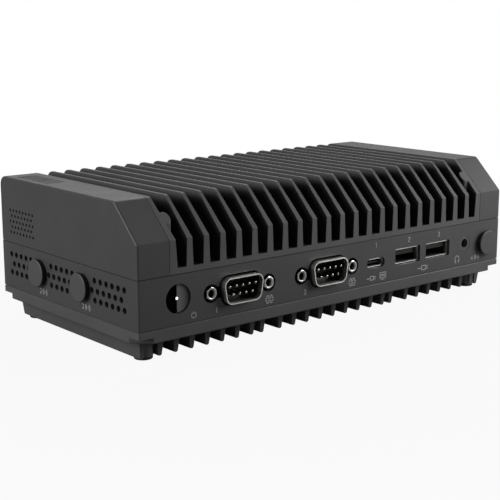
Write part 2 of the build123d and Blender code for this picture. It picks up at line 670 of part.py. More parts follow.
def serial_port(x):
    """One nine-pin serial port as (shell with flange, insulator, pins)."""
    z = Z_SEAM + SERIAL_Z
    lip = FRONT - SERIAL_PROUD
    plate = lip + SERIAL_DEPTH
    fw, fh, ft = SERIAL_FLANGE
    outer = d_outline(SERIAL_INNER[0] + 2 * SERIAL_WALL, SERIAL_INNER[1] + 2 * SERIAL_WALL,
                      SERIAL_R + SERIAL_WALL)
    inner = d_outline(*SERIAL_INNER, SERIAL_R)
    shell = from_front(outer, x, z, lip, plate + ft)
    shell += block(x - fw / 2, x + fw / 2, plate, plate + ft, z - fh / 2, z + fh / 2)
    shell -= from_front(inner, x, z, lip - 1, plate + ft + 1)
    for side in SIDES:
        shell -= rod_y(x + side * SERIAL_SCREW_HALF, z, plate - 1, plate + ft + 1, 1.6)
    bw, bh, bd = SERIAL_BODY
    back = plate + ft
    insulator = block(x - bw / 2, x + bw / 2, back, back + bd, z - bh / 2, z + bh / 2)
    fill = d_outline(SERIAL_INNER[0] - 2 * SEAT_GAP, SERIAL_INNER[1] - 2 * SEAT_GAP, SERIAL_R)
    insulator += from_front(fill, x, z, plate - 0.6, back + 0.5)
    pins = []
    for row, count in ((0.5, 5), (-0.5, 4)):
        for k in range(count):
            px = x + (k - (count - 1) / 2) * PIN_PITCH_X
            pz = z + row * PIN_PITCH_Z
            pin = rod_y(px, pz, lip + 0.7, back + bd + 1.5, PIN_R)
            pins.append(fillet(pin.edges().sort_by(Axis.Y)[0], 0.3))
            insulator -= rod_y(px, pz, plate - 2, back + bd + 1, PIN_R + THREAD_GAP)
    return shell, insulator, Compound(children=pins)


def serial_jackscrews():
    """Four hexagonal jackscrews, tapped in front, with studs through the flanges."""
    z = Z_SEAM + SERIAL_Z
    plate = FRONT - SERIAL_PROUD + SERIAL_DEPTH
    face = FRONT - JACKSCREW_PROUD
    across_corners = JACKSCREW_AF / 2 / math.cos(math.pi / 6)
    hexagon = RegularPolygon(across_corners, 6, rotation=30)
    screws = []
    for x in SERIAL_X:
        for side in SIDES:
            at = x + side * SERIAL_SCREW_HALF
            one = from_front(hexagon, at, z, face, plate)
            one &= rod_y(at, z, face, plate, across_corners - 0.12)
            one += rod_y(at, z, plate - 0.1, plate + JACKSCREW_STUD, 1.4)
            one -= rod_y(at, z, face - 1, plate - 0.2, JACKSCREW_HOLE_R)
            screws.append(one)
    return Compound(children=screws)


def usb_a_port(x):
    """One USB-A socket as (shell, tongue)."""
    here = Pos(x, FRONT + SHELL_SETBACK, Z_SEAM + USB_A_Z)
    shell = box_shell(*USB_A_SHELL, USB_A_DEPTH, 0.4, SHELL_WALL)
    tongue = tongue_and_base(USB_A_SHELL, USB_A_TONGUE, USB_A_TONGUE_RISE, USB_A_DEPTH, 1.2, 0.2)
    return here * shell, here * tongue


def usb_c_port():
    """The USB-C socket as (shell, tongue)."""
    here = Pos(USB_C_X, FRONT + SHELL_SETBACK, Z_SEAM + USB_C_Z)
    w, h = USB_C_SHELL
    shell = box_shell(w, h, USB_C_DEPTH, h / 2 - 0.001, SHELL_WALL)
    rise = -USB_C_TONGUE[1] / 2
    radius = h / 2 - SHELL_WALL - SEAT_GAP - 0.001
    tongue = tongue_and_base(USB_C_SHELL, USB_C_TONGUE, rise, USB_C_DEPTH, 1.0, radius)
    return here * shell, here * tongue


def usb_c_riser():
    """Plastic riser that lifts the USB-C socket off the board."""
    w, h = USB_C_SHELL
    top = Z_SEAM + USB_C_Z - h / 2
    y0 = BOARD_FRONT + 0.3
    return block(USB_C_X - w / 2, USB_C_X + w / 2, y0, y0 + 4.0, Z_BOARD, top)


def headset_jack():
    """Headset socket: a ring through the band and a block on the board."""
    z = Z_SEAM + HEADSET_Z
    w, h, d = HEADSET_BODY
    y0 = INNER_FRONT + 0.3
    body = block(HEADSET_X - w / 2, HEADSET_X + w / 2, y0, y0 + d, Z_BOARD, z + h / 2)
    body += rod_y(HEADSET_X, z, FRONT + 0.1, y0 + 0.1, HEADSET_RING_R)
    body -= rod_y(HEADSET_X, z, FRONT - 1, y0 + d - 1.0, HEADSET_BORE_R)
    return body


def dc_jack():
    """Power inlet at the back as (housing, centre pin)."""
    z = Z_SEAM + DC_Z
    w, h, d = DC_BODY
    y1 = INNER_BACK - 0.3
    body = block(DC_X - w / 2, DC_X + w / 2, y1 - d, y1, Z_BOARD, z + h / 2)
    body += rod_y(DC_X, z, y1 - 0.1, BACK - 0.1, DC_NOSE_R)
    floor = BACK - 0.1 - DC_BORE_DEPTH
    body -= rod_y(DC_X, z, floor, BACK + 1, DC_BORE_R)
    body -= rod_y(DC_X, z, floor - 3.0, floor + 1, DC_PIN_R + DC_PIN_ROOT + THREAD_GAP)
    pin = rod_y(DC_X, z, floor, BACK - 0.8, DC_PIN_R)
    pin = fillet(pin.edges().sort_by(Axis.Y)[-1], 0.4)
    return body, pin + rod_y(DC_X, z, floor - 3.0, floor, DC_PIN_R + DC_PIN_ROOT)


LAN_Z = BOARD_RISE + BOARD_T + LAN_OUTER[1] / 2


def lan_jack(x):
    """One network socket as (housing, contact springs)."""
    z = Z_SEAM + LAN_Z
    w, h = LAN_OUTER
    iw, ih = LAN_INNER
    y1 = BACK - 0.1
    body = block(x - w / 2, x + w / 2, y1 - LAN_DEPTH, y1, z - h / 2, z + h / 2)
    back = y1 - LAN_DEPTH + 1.5
    body -= block(x - iw / 2, x + iw / 2, back, BACK + 1, z - ih / 2, z + ih / 2)
    latch = 6.0
    body -= block(x - latch / 2, x + latch / 2, back, BACK + 1, z - h / 2 + 0.6, z)
    contacts = []
    for k in range(LAN_CONTACTS):
        cx = x + (k - (LAN_CONTACTS - 1) / 2) * LAN_CONTACT_PITCH
        strip = [(0, 0), (6.0, 0), (6.0, -0.3), (1.2, -0.3), (4.6, -2.0), (4.4, -2.3), (0, -0.5)]
        outline = make_face(Polyline(*strip, close=True))
        plane = Plane(origin=(cx - 0.2, back, z + ih / 2), x_dir=(0, 1, 0), z_dir=(1, 0, 0))
        contacts.append(extrude(plane * outline, 0.4))
    return body, Compound(children=contacts)


def video_port():
    """Display socket at the back as (shell, tongue)."""
    here = Pos(VIDEO_X, BACK - SHELL_SETBACK, Z_SEAM + VIDEO_Z) * Rot(0, 0, 180)
    shell = box_shell(*VIDEO_SHELL, VIDEO_DEPTH, 0.5, SHELL_WALL)
    rise = -VIDEO_TONGUE[1] / 2
    tongue = tongue_and_base(VIDEO_SHELL, VIDEO_TONGUE, rise, VIDEO_DEPTH, 1.2, 0.2)
    return here * shell, here * tongue


def antenna_plug():
    """A plug on the Z axis: a cap with rounded edge above z=0, its stem below."""
    cap = post(0, 0, PLUG_CAP_T - PLUG_RIM_T, PLUG_CAP_T, PLUG_CAP_R)
    cap = fillet(cap.edges().sort_by(Axis.Z)[-1], PLUG_EDGE_R)
    cap += post(0, 0, 0, PLUG_CAP_T - PLUG_RIM_T / 2, PLUG_NECK_R)
    plug = cap + post(0, 0, -PLUG_STEM_L, 0.1, PLUG_STEM_R)
    return plug - post(0, 0, -PLUG_STEM_L - 1, -0.8, PLUG_STEM_R - 1.0)


# ---- boards and what is on them -----------------------------------------------------
CPU_X, CPU_Y = 0.0, 2.0
CPU = (25.0, 24.0, 1.4)
SPREADER = (36.0, 36.0, 3.0)
PAD_T = 0.8
PEDESTAL = 40.0
Z_PAD_TOP = Z_BOARD + CPU[2] + SPREADER[2] + PAD_T


def on_board(x, y, size, lift=0.0):
    """A box of the given size on the board's top face."""
    w, d, h = size
    z = Z_BOARD + lift
    return block(x - w / 2, x + w / 2, y - d / 2, y + d / 2, z, z + h)


def under_board(x, y, size, drop=0.0):
    """A box of the given size against the board's underside."""
    w, d, h = size
    z = Z_SEAM + BOARD_RISE - drop
    return block(x - w / 2, x + w / 2, y - d / 2, y + d / 2, z - h, z)


def main_board():
    """The board, with notches for the sunk serial ports and holes for its screws."""
    side = CASE_W / 2 - BOARD_SIDE_INSET
    y0, y1 = BOARD_FRONT, BACK - BOARD_BACK_INSET
    board = block(-side, side, y0, y1, Z_BOARD - BOARD_T, Z_BOARD)
    notch_w = SERIAL_FLANGE[0] / 2 + 0.5
    depth = FRONT - SERIAL_PROUD + SERIAL_DEPTH + SERIAL_FLANGE[2] + SERIAL_BODY[2] + 0.5
    for x in SERIAL_X:
        board -= block(x - notch_w, x + notch_w, y0 - 1, depth, Z_SEAM, Z_BOARD + 1)
    for x, y in four_corners(STANDOFF_INSET):
        board -= post(x, y, Z_SEAM, Z_BOARD + 1, SCREW_CLEAR_R)
    return board


SSD = (42.0, 22.0, 0.8)
SSD_X, SSD_Y = -38.0, -6.0
SSD_DROP = 2.0
DIMM = (67.6, 30.0, 1.2)
DIMM_X, DIMM_Y = 40.0, -1.0
DIMM_DROP = 2.4
WLAN = (22.0, 30.0, 0.8)
WLAN_X, WLAN_Y = 58.0, -2.0
WLAN_LIFT = 2.2


def edge_socket(card, x, y, end, drop, flip):
    """A card-edge socket at the card's end along X or Y, with a slot for the card."""
    w, d, t = card
    height = drop + t + 0.9
    if end == "x":
        size, at = (6.0, d + 2.0, height), (x - w / 2 - 1.5, y)
    else:
        size, at = (w + 4.0, 6.0, height), (x, y + d / 2 + 1.5)
    body = (under_board if flip else on_board)(*at, size)
    gap = SEAT_GAP
    slot = (w + 2 * gap, d + 2 * gap, t + 2 * gap)
    return body - (under_board if flip else on_board)(x, y, slot, drop - gap)


def memory_module():
    """Memory card with its chips, under the board."""
    w, t = DIMM[0], DIMM[2]
    card = under_board(DIMM_X, DIMM_Y, DIMM, DIMM_DROP)
    for k in range(4):
        x = DIMM_X + (k - 1.5) * w / 4.2
        card += under_board(x, DIMM_Y - 3.0, (11.0, 8.0, 1.0), DIMM_DROP + t)
    return card


def ssd_module():
    """Storage card with its chips, under the board, and a half-round screw notch."""
    w, t = SSD[0], SSD[2]
    card = under_board(SSD_X, SSD_Y, SSD, SSD_DROP)
    for side in SIDES:
        card += under_board(SSD_X + side * 9.5, SSD_Y, (14.0, 16.0, 1.1), SSD_DROP + t)
    end = SSD_X + w / 2
    return card - post(end, SSD_Y, Z_SEAM - 5, Z_SEAM + 5, SCREW_CLEAR_R + 0.3)


def ssd_spacer():
    """Spacer and screw that hold the free end of the storage card."""
    x = SSD_X + SSD[0] / 2
    z = Z_SEAM + BOARD_RISE
    spacer = post(x, SSD_Y, z - SSD_DROP, z, 2.4)
    spacer += post(x, SSD_Y, z - SSD_DROP - SSD[2] - 0.05, z, SCREW_CLEAR_R)
    head = post(x, SSD_Y, z - SSD_DROP - SSD[2] - 0.9, z - SSD_DROP - SSD[2] - 0.05, 2.6)
    return spacer + head


def wireless_card():
    """Wireless card above the board with its shield."""
    card = on_board(WLAN_X, WLAN_Y, WLAN, WLAN_LIFT)
    return card + on_board(WLAN_X, WLAN_Y, (18.0, 20.0, 1.4), WLAN_LIFT + WLAN[2])


def board_inductors():
    """Power inductors in a row beside the processor."""
    spots = [(CPU_X - 26.0, CPU_Y - 18.0 + k * 9.0) for k in range(5)]
    blocks = [on_board(x, y, (7.0, 7.0, 3.0)) for x, y in spots]
    return Compound(children=blocks)


def board_capacitors():
    """Round capacitors in a row beside the inductors."""
    spots = [(CPU_X - 35.0, CPU_Y - 18.0 + k * 9.0) for k in range(5)]
    return Compound(children=[post(x, y, Z_BOARD, Z_BOARD + 7.0, 3.15) for x, y in spots])


COIN_X, COIN_Y = 34.0, -16.0
COIN_R, COIN_T = 10.0, 3.2


def coin_cell_holder():
    """Ring that holds the clock's coin cell on the board."""
    ring = post(COIN_X, COIN_Y, Z_BOARD, Z_BOARD + 4.0, COIN_R + 1.6)
    return ring - post(COIN_X, COIN_Y, Z_BOARD + 0.6, Z_BOARD + 5, COIN_R + SEAT_GAP)


SPEAKER_FRAME = (4.0, 19.4, 11.4)


def speaker_place():
    """Middle of the speaker: behind the middle of its grid of holes."""
    span = (max(SPEAKER_ROWS) - 1) * SPEAKER_PITCH
    y = BACK - SPEAKER_BACK - span / 2
    z = Z_DECK + SPEAKER_TOP - (len(SPEAKER_ROWS) - 1) * SPEAKER_ROW / 2
    return LEFT + CAP_WALL + SEAT_GAP, y, z


def speaker():
    """The speaker in the left cap as (frame with magnet, cone)."""
    t, w, h = SPEAKER_FRAME
    x, y, z = speaker_place()
    frame = block(x, x + t, y - w / 2, y + w / 2, z - h / 2, z + h / 2)
    outline = RectangleRounded(w - 2.0, h - 2.0, 4.0)
    plane = Plane(origin=(x, y, z), x_dir=(0, 1, 0), z_dir=(1, 0, 0))
    frame -= extrude(plane * outline, 1.6)
    cone_outline = RectangleRounded(w - 2.2, h - 2.2, 3.9)
    seat = Plane(origin=(x + 0.4, y, z), x_dir=(0, 1, 0), z_dir=(1, 0, 0))
    cone = extrude(seat * cone_outline, 1.2)
    return frame, cone - rod_x(y, z, x, x + 0.9, 3.0)


# ---- write every sub-part -----------------------------------------------------------
def all_nodes():
    """Every named piece of the assembly."""
    z = Z_SEAM
    nodes = {
        "top_heatsink": top_heatsink(),
        "left_end_cap": left_end_cap(),
        "right_end_cap": end_cap(1),
        "badge_plate": badge_plate(),
        "mid_frame": mid_frame(),
        "bottom_tray": bottom_tray(),
        "rubber_feet": rubber_feet(),
        "tray_screws": tray_screws(),
        "lid_screws": lid_screws(),
        "cap_screws": cap_screws(),
        "board_screws": board_screws(),
        "power_button": power_button(),
        "power_light_pipe": power_light_pipe(),
        "power_switch_plunger": power_switch_plunger(),
        "power_switch_body": power_switch_body(),
        "serial_jackscrews": serial_jackscrews(),
        "usb_c_riser": usb_c_riser(),
        "headset_jack": headset_jack(),
        "main_board": main_board(),
        "processor": on_board(CPU_X, CPU_Y, CPU),
        "copper_spreader": on_board(CPU_X, CPU_Y, SPREADER, CPU[2]),
        "thermal_pad": on_board(CPU_X, CPU_Y, (SPREADER[0], SPREADER[1], PAD_T), CPU[2] + SPREADER[2]),
        "memory_socket": edge_socket(DIMM, DIMM_X, DIMM_Y, "y", DIMM_DROP, True),
        "memory_module": memory_module(),
        "ssd_socket": edge_socket(SSD, SSD_X, SSD_Y, "x", SSD_DROP, True),
        "ssd_module": ssd_module(),
        "ssd_spacer": ssd_spacer(),
        "wireless_socket": edge_socket(WLAN, WLAN_X, WLAN_Y, "y", WLAN_LIFT, False),
        "wireless_card": wireless_card(),
        "board_inductors": board_inductors(),
        "board_capacitors": board_capacitors(),
        "coin_cell_holder": coin_cell_holder(),
        "coin_cell": post(COIN_X, COIN_Y, Z_BOARD + 0.6, Z_BOARD + 0.6 + COIN_T, COIN_R),
    }
    for number, x in enumerate(SERIAL_X, 1):
        shell, insulator, pins = serial_port(x)
        nodes[f"serial_{number}_shell"] = shell
        nodes[f"serial_{number}_insulator"] = insulator
        nodes[f"serial_{number}_pins"] = pins
    for number, x in enumerate(USB_A_X, 1):
        nodes[f"usb_a_{number}_shell"], nodes[f"usb_a_{number}_tongue"] = usb_a_port(x)
    nodes["usb_c_shell"], nodes["usb_c_tongue"] = usb_c_port()
    nodes["dc_jack_housing"], nodes["dc_jack_pin"] = dc_jack()
    for number, x in enumerate(LAN_X, 1):
        nodes[f"lan_{number}_housing"], nodes[f"lan_{number}_contacts"] = lan_jack(x)
    nodes["video_port_shell"], nodes["video_port_tongue"] = video_port()
    nodes["speaker_frame"], nodes["speaker_cone"] = speaker()
    plug = antenna_plug()
    for place, y in zip(("front", "back"), SIDE_PLUG_Y):
        nodes[f"antenna_plug_left_{place}"] = Pos(LEFT, y, z + SIDE_PLUG_Z) * Rot(0, -90, 0) * plug
    front_x = RIGHT - FRONT_PLUG_INSET
    nodes["antenna_plug_front"] = Pos(front_x, FRONT, z + FRONT_PLUG_Z) * Rot(90, 0, 0) * plug
    nodes["antenna_plug_back"] = Pos(BACK_PLUG_X, BACK, z + SIDE_PLUG_Z) * Rot(-90, 0, 0) * plug
    return nodes


os.makedirs("parts", exist_ok=True)
for name, shape in all_nodes().items():
    export_step(shape, f"parts/{name}.step")
    print(name, len(shape.solids()), round(shape.volume, 1))
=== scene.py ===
# %% [markdown]
# # A fanless mini PC, dressed for its portrait
# The machine is a finned aluminium lid, a plastic port band and a finned aluminium tray. All of its
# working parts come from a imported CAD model, which this script loads and never moves. What is left to
# do is what Blender is good at: finishes, printed marks, threaded jackscrews, small contact springs, a
# studio and a camera. Every cell below makes one thing and prints what it made.

# %% Load the frame
import json
import math
import bpy
import numpy as np
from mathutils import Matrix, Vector


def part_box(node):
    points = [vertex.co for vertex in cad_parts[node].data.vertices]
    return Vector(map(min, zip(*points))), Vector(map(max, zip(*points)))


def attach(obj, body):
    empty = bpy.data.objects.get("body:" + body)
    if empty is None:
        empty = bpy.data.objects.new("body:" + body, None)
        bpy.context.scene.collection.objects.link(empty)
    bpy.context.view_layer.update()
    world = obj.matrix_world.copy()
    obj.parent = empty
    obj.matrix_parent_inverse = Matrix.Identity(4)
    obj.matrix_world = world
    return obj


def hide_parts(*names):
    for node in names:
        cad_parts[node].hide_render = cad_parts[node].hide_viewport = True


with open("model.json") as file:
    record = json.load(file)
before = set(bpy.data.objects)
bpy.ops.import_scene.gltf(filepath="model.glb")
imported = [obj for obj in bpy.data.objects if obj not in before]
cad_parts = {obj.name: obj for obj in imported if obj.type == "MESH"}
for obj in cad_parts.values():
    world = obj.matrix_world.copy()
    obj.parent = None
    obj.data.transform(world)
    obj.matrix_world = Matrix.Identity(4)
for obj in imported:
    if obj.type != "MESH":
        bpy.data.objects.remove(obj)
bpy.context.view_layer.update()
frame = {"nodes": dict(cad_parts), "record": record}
nodes = frame["nodes"]
MM = 0.001

# %% [markdown]
# ## The camera
# A product portrait is taken with a long lens from a little above, so that the front, the left side and
# the top all show and the verticals stay nearly upright. The camera could follow a target with a
# constraint, but a fixed rotation is easier to reuse, so its back axis is turned towards the aim once.
# A small sideways shift slides the frame over the machine and leaves the perspective alone.

# %% Place the camera
CAMERA_AT = Vector((-0.2878, -0.3421, 0.1127))
CAMERA_AIM = Vector((-0.0369, -0.0448, 0.0322))
CAMERA_LENS = 83.29
CAMERA_SHIFT_X = -0.03

camera_data = bpy.data.cameras.new("portrait_camera")
camera_data.lens = CAMERA_LENS
camera_data.shift_x = CAMERA_SHIFT_X
camera_data.clip_start = 0.01
camera_data.clip_end = 60.0
camera = bpy.data.objects.new("portrait_camera", camera_data)
bpy.context.scene.collection.objects.link(camera)
camera.location = CAMERA_AT
camera.rotation_euler = (CAMERA_AT - CAMERA_AIM).to_track_quat("Z", "Y").to_euler()
bpy.context.scene.camera = camera
print("camera", round((CAMERA_AT - CAMERA_AIM).length, 3), "m from its aim")

# %% [markdown]
# ## The studio
# A dark, satin object is drawn by what it reflects. A large soft light above and behind gives bright tops
# and fin edges. A small one close to the right end lights the front, and because it is close, its light
# falls off along the front and leaves the left end darker. A large one further off fills the left side.
# All three are hidden from the camera, so that no view shows them. The sky is white for the camera only.
# For everything else it is dim, because an even white sky would reach into the slots between the fins.

# %% Lights and sky
def softbox(name, at, aim_at, size, power):
    """A rectangular area light that faces its target; size and distances in metres, power in watts."""
    data = bpy.data.lights.new(name, "AREA")
    data.shape = "RECTANGLE"
    data.size, data.size_y = size
    data.energy = power
    light = bpy.data.objects.new(name, data)
    bpy.context.scene.collection.objects.link(light)
    light.location = at
    light.rotation_euler = (Vector(at) - Vector(aim_at)).to_track_quat("Z", "Y").to_euler()
    light.visible_camera = False


softbox("overhead_softbox", (0.38, 0.58, 0.74), (0.0, 0.0, 0.05), (0.8, 0.7), 4.3)
softbox("right_softbox", (0.27, -0.23, 0.17), (0.09, -0.045, 0.03), (0.20, 0.20), 1.10)
softbox("left_softbox", (-0.95, 0.20, 0.40), (-0.09, 0.0, 0.03), (0.6, 0.6), 7.2)

SKY_SEEN, SKY_LIGHT = 1.0, 0.15
world = bpy.data.worlds.new("studio_sky")
bpy.context.scene.world = world
world.use_nodes = True
sky = world.node_tree
sky.nodes.clear()
path = sky.nodes.new("ShaderNodeLightPath")
blend = sky.nodes.new("ShaderNodeMixShader")
sky_out = sky.nodes.new("ShaderNodeOutputWorld")
for slot, strength in ((1, SKY_LIGHT), (2, SKY_SEEN)):
    glow = sky.nodes.new("ShaderNodeBackground")
    glow.inputs["Color"].default_value = (1.0, 1.0, 1.0, 1.0)
    glow.inputs["Strength"].default_value = strength
    sky.links.new(glow.outputs[0], blend.inputs[slot])
sky.links.new(path.outputs["Is Camera Ray"], blend.inputs["Fac"])
sky.links.new(blend.outputs[0], sky_out.inputs["Surface"])
bpy.context.scene.view_settings.view_transform = "Standard"
print("three softboxes and a sky that lights with strength", SKY_LIGHT)

# %% [markdown]
# ## Node groups: the effects that finishes share
# Powder coat, moulded grain, hand smudges, settled dust and plating streaks each turn up in several
# materials. Copying their nodes would work, but then a change has to be made everywhere, so each effect is
# a group with named sockets. A group gives out only plain values, and the shader stays in the material.

# %% A small kit for node groups
def new_group(name, inputs, outputs):
    """A shader node group with value inputs (name, default), a vector input Place, and value outputs."""
    group = bpy.data.node_groups.new(name, "ShaderNodeTree")
    group.interface.new_socket("Place", in_out="INPUT", socket_type="NodeSocketVector")
    for label, default in inputs:
        socket = group.interface.new_socket(label, in_out="INPUT", socket_type="NodeSocketFloat")
        socket.default_value = default
    for label in outputs:
        group.interface.new_socket(label, in_out="OUTPUT", socket_type="NodeSocketFloat")
    return group, group.nodes.new("NodeGroupInput"), group.nodes.new("NodeGroupOutput")


def maths(tree, operation, a, b=0.0, c=0.0, clamp=False):
    """One Math node; each operand is a number or another node's output."""
    node = tree.nodes.new("ShaderNodeMath")
    node.operation = operation
    node.use_clamp = clamp
    for k, value in enumerate((a, b, c)):
        if isinstance(value, (int, float)):
            node.inputs[k].default_value = value
        else:
            tree.links.new(value, node.inputs[k])
    return node.outputs[0]


def noise(tree, place, scale, detail=2.0, rough=0.5):
    """The value of a noise texture whose grains are about 1/scale metres across."""
    node = tree.nodes.new("ShaderNodeTexNoise")
    tree.links.new(place, node.inputs["Vector"])
    if isinstance(scale, (int, float)):
        node.inputs["Scale"].default_value = scale
    else:
        tree.links.new(scale, node.inputs["Scale"])
    node.inputs["Detail"].default_value = detail
    node.inputs["Roughness"].default_value = rough
    return node.outputs["Fac"]


def stretch(tree, place, scale):
    """Place stretched by a separate factor along each axis."""
    node = tree.nodes.new("ShaderNodeMapping")
    node.inputs["Scale"].default_value = scale
    tree.links.new(place, node.inputs["Vector"])
    return node.outputs["Vector"]


def ramp(tree, value, low, high, to_low=0.0, to_high=1.0):
    """A smooth step of value from low..high to to_low..to_high."""
    node = tree.nodes.new("ShaderNodeMapRange")
    node.interpolation_type = "SMOOTHSTEP"
    tree.links.new(value, node.inputs["Value"])
    for label, number in (("From Min", low), ("From Max", high), ("To Min", to_low), ("To Max", to_high)):
        node.inputs[label].default_value = number
    return node.outputs["Result"]


print("helpers for groups, maths, noise and ramps")

# %% [markdown]
# Powder coat is fine plastic dust melted onto metal. It sets into a low, pebbly skin with flat crests, so
# its height is a blend of rounded cells and noise, and its mottle is a slow change over centimetres.
# Moulded plastic has a shallower, finer grain etched into the mould. Both could be image textures, but a
# procedure has no edge and no scale to lose.

# %% Groups for relief
group, g_in, g_out = new_group("powder_coat", [("Grains per metre", 2600.0)], ["Height", "Mottle"])
cells = group.nodes.new("ShaderNodeTexVoronoi")
cells.feature = "SMOOTH_F1"
cells.inputs["Smoothness"].default_value = 0.7
group.links.new(g_in.outputs["Place"], cells.inputs["Vector"])
group.links.new(g_in.outputs["Grains per metre"], cells.inputs["Scale"])
pebble = maths(group, "SUBTRACT", 1.0, cells.outputs["Distance"])
fine = noise(group, g_in.outputs["Place"], maths(group, "MULTIPLY", g_in.outputs["Grains per metre"], 1.7))
height = maths(group, "ADD", maths(group, "MULTIPLY", pebble, 0.6), maths(group, "MULTIPLY", fine, 0.4))
group.links.new(height, g_out.inputs["Height"])
group.links.new(ramp(group, noise(group, g_in.outputs["Place"], 45.0, 4.0), 0.3, 0.7), g_out.inputs["Mottle"])

group, g_in, g_out = new_group("moulded_grain", [("Grains per metre", 4200.0)], ["Height", "Mottle"])
grain = noise(group, g_in.outputs["Place"], g_in.outputs["Grains per metre"], 3.0, 0.6)
flat_crests = ramp(group, grain, 0.35, 0.6)
group.links.new(flat_crests, g_out.inputs["Height"])
group.links.new(ramp(group, noise(group, g_in.outputs["Place"], 30.0, 3.0), 0.3, 0.7), g_out.inputs["Mottle"])
print("groups:", [g.name for g in bpy.data.node_groups])

# %% [markdown]
# Three more effects follow. Smudges are soft patches where hands have polished or greased a surface. Dust
# settles on what faces up, in a slightly uneven film. Streaks are the fine lines that rolling and plating
# leave along a metal part, which here is noise squeezed hard across one axis.

# %% Groups for smudges, dust and streaks
group, g_in, g_out = new_group("hand_smudges", [("Patches per metre", 28.0)], ["Smudge"])
patch = noise(group, g_in.outputs["Place"], g_in.outputs["Patches per metre"], 5.0, 0.62)
group.links.new(ramp(group, patch, 0.48, 0.68), g_out.inputs["Smudge"])

group, g_in, g_out = new_group("settled_dust", [("Specks per metre", 900.0)], ["Dust"])
surface = group.nodes.new("ShaderNodeNewGeometry")
parts = group.nodes.new("ShaderNodeSeparateXYZ")
group.links.new(surface.outputs["Normal"], parts.inputs["Vector"])
upward = ramp(group, parts.outputs["Z"], 0.55, 1.0)
film = ramp(group, noise(group, g_in.outputs["Place"], 60.0, 4.0), 0.35, 0.75, 0.25, 1.0)
specks = ramp(group, noise(group, g_in.outputs["Place"], g_in.outputs["Specks per metre"], 2.0), 0.5, 0.72)
speckled = maths(group, "MULTIPLY", maths(group, "MULTIPLY", upward, film), maths(group, "ADD", specks, 0.35))
group.links.new(speckled, g_out.inputs["Dust"])

group, g_in, g_out = new_group("plating_streaks", [("Lines per metre", 3200.0)], ["Streak"])
lines = noise(group, stretch(group, g_in.outputs["Place"], (1.0, 0.04, 1.0)),
              g_in.outputs["Lines per metre"], 2.0, 0.7)
group.links.new(ramp(group, lines, 0.3, 0.7), g_out.inputs["Streak"])
print("groups:", len(bpy.data.node_groups))

# %% [markdown]
# ## One recipe for a dark matte finish
# The lid, the tray, the caps, the plugs and the small black plastics are all dark and matte, and differ in
# grain, sheen and how much dust they hold. One function builds that material from named values: colour
# moves between two tones with the mottle, smudges lower the roughness, and dust lightens what faces up.

# %% The dark finish
def start_material(name, rough, metallic=0.0):
    """A new material with its tree, its shader, and the point of the surface in object space."""
    material = bpy.data.materials.new(name)
    material.use_nodes = True
    tree = material.node_tree
    shader = tree.nodes["Principled BSDF"]
    shader.inputs["Roughness"].default_value = rough
    shader.inputs["Metallic"].default_value = metallic
    place = tree.nodes.new("ShaderNodeTexCoord").outputs["Object"]
    return material, tree, shader, place


def add_group(tree, name, place, **values):
    """A node for a shared effect, with its own values; underscores stand for spaces in socket names."""
    node = tree.nodes.new("ShaderNodeGroup")
    node.node_tree = bpy.data.node_groups[name]
    tree.links.new(place, node.inputs["Place"])
    for label, value in values.items():
        node.inputs[label.replace("_", " ")].default_value = value
    return node


def mix_colours(tree, factor, low, high):
    """A colour between low and high; each is a colour or another node's output."""
    node = tree.nodes.new("ShaderNodeMix")
    node.data_type = "RGBA"
    tree.links.new(factor, node.inputs["Factor"])
    for label, value in (("A", low), ("B", high)):
        socket = [s for s in node.inputs if s.name == label and s.type == "RGBA"][0]
        if isinstance(value, tuple):
            socket.default_value = (*value, 1.0)
        else:
            tree.links.new(value, socket)
    return [s for s in node.outputs if s.type == "RGBA"][0]


def add_bump(tree, shader, height, depth):
    """Relief of the given depth in metres, without moving the surface."""
    bump = tree.nodes.new("ShaderNodeBump")
    bump.inputs["Strength"].default_value = 0.5
    bump.inputs["Distance"].default_value = depth
    tree.links.new(height, bump.inputs["Height"])
    tree.links.new(bump.outputs["Normal"], shader.inputs["Normal"])


def tone(value, tint=(1.0, 1.0, 1.03)):
    """A near-neutral colour of the given brightness."""
    return tuple(value * t for t in tint)


def facing_along(tree, axis):
    """How squarely the surface faces along an axis of the object, 0 to 1."""
    surface = tree.nodes.new("ShaderNodeNewGeometry")
    parts = tree.nodes.new("ShaderNodeSeparateXYZ")
    tree.links.new(surface.outputs["Normal"], parts.inputs["Vector"])
    return maths(tree, "ABSOLUTE", parts.outputs[axis])


DUST_TONE = (0.20, 0.195, 0.185)


def dark_finish(name, dark, light, rough, relief, depth, grains, dust=0.06, polish=0.10,
                tint=(1.0, 1.0, 1.03), painted_shade_axis=None):
    """A dark matte skin: two tones, one relief group, smudges in the roughness and a film of dust. With a
    painted shade axis, the faces turned from that axis are painted nearly black: painted shade, as in a deep
    reveal."""
    material, tree, shader, place = start_material(name, rough)
    skin = add_group(tree, relief, place, Grains_per_metre=grains)
    smudge = add_group(tree, "hand_smudges", place).outputs["Smudge"]
    film = maths(tree, "MULTIPLY", add_group(tree, "settled_dust", place).outputs["Dust"], dust)
    body = mix_colours(tree, skin.outputs["Mottle"], tone(dark, tint), tone(light, tint))
    dusty = mix_colours(tree, film, body, DUST_TONE)
    if painted_shade_axis:
        # Painted shade: faces turned from the painted shade axis are painted nearly black.
        away = ramp(tree, facing_along(tree, painted_shade_axis), 0.35, 0.75, 1.0, 0.0)
        dusty = mix_colours(tree, away, dusty, tone(0.004))
    tree.links.new(dusty, shader.inputs["Base Color"])
    worn = maths(tree, "MULTIPLY_ADD", smudge, -polish, rough)
    tree.links.new(maths(tree, "MULTIPLY_ADD", film, 0.8, worn, clamp=True), shader.inputs["Roughness"])
    add_bump(tree, shader, skin.outputs["Height"], depth)
    return material


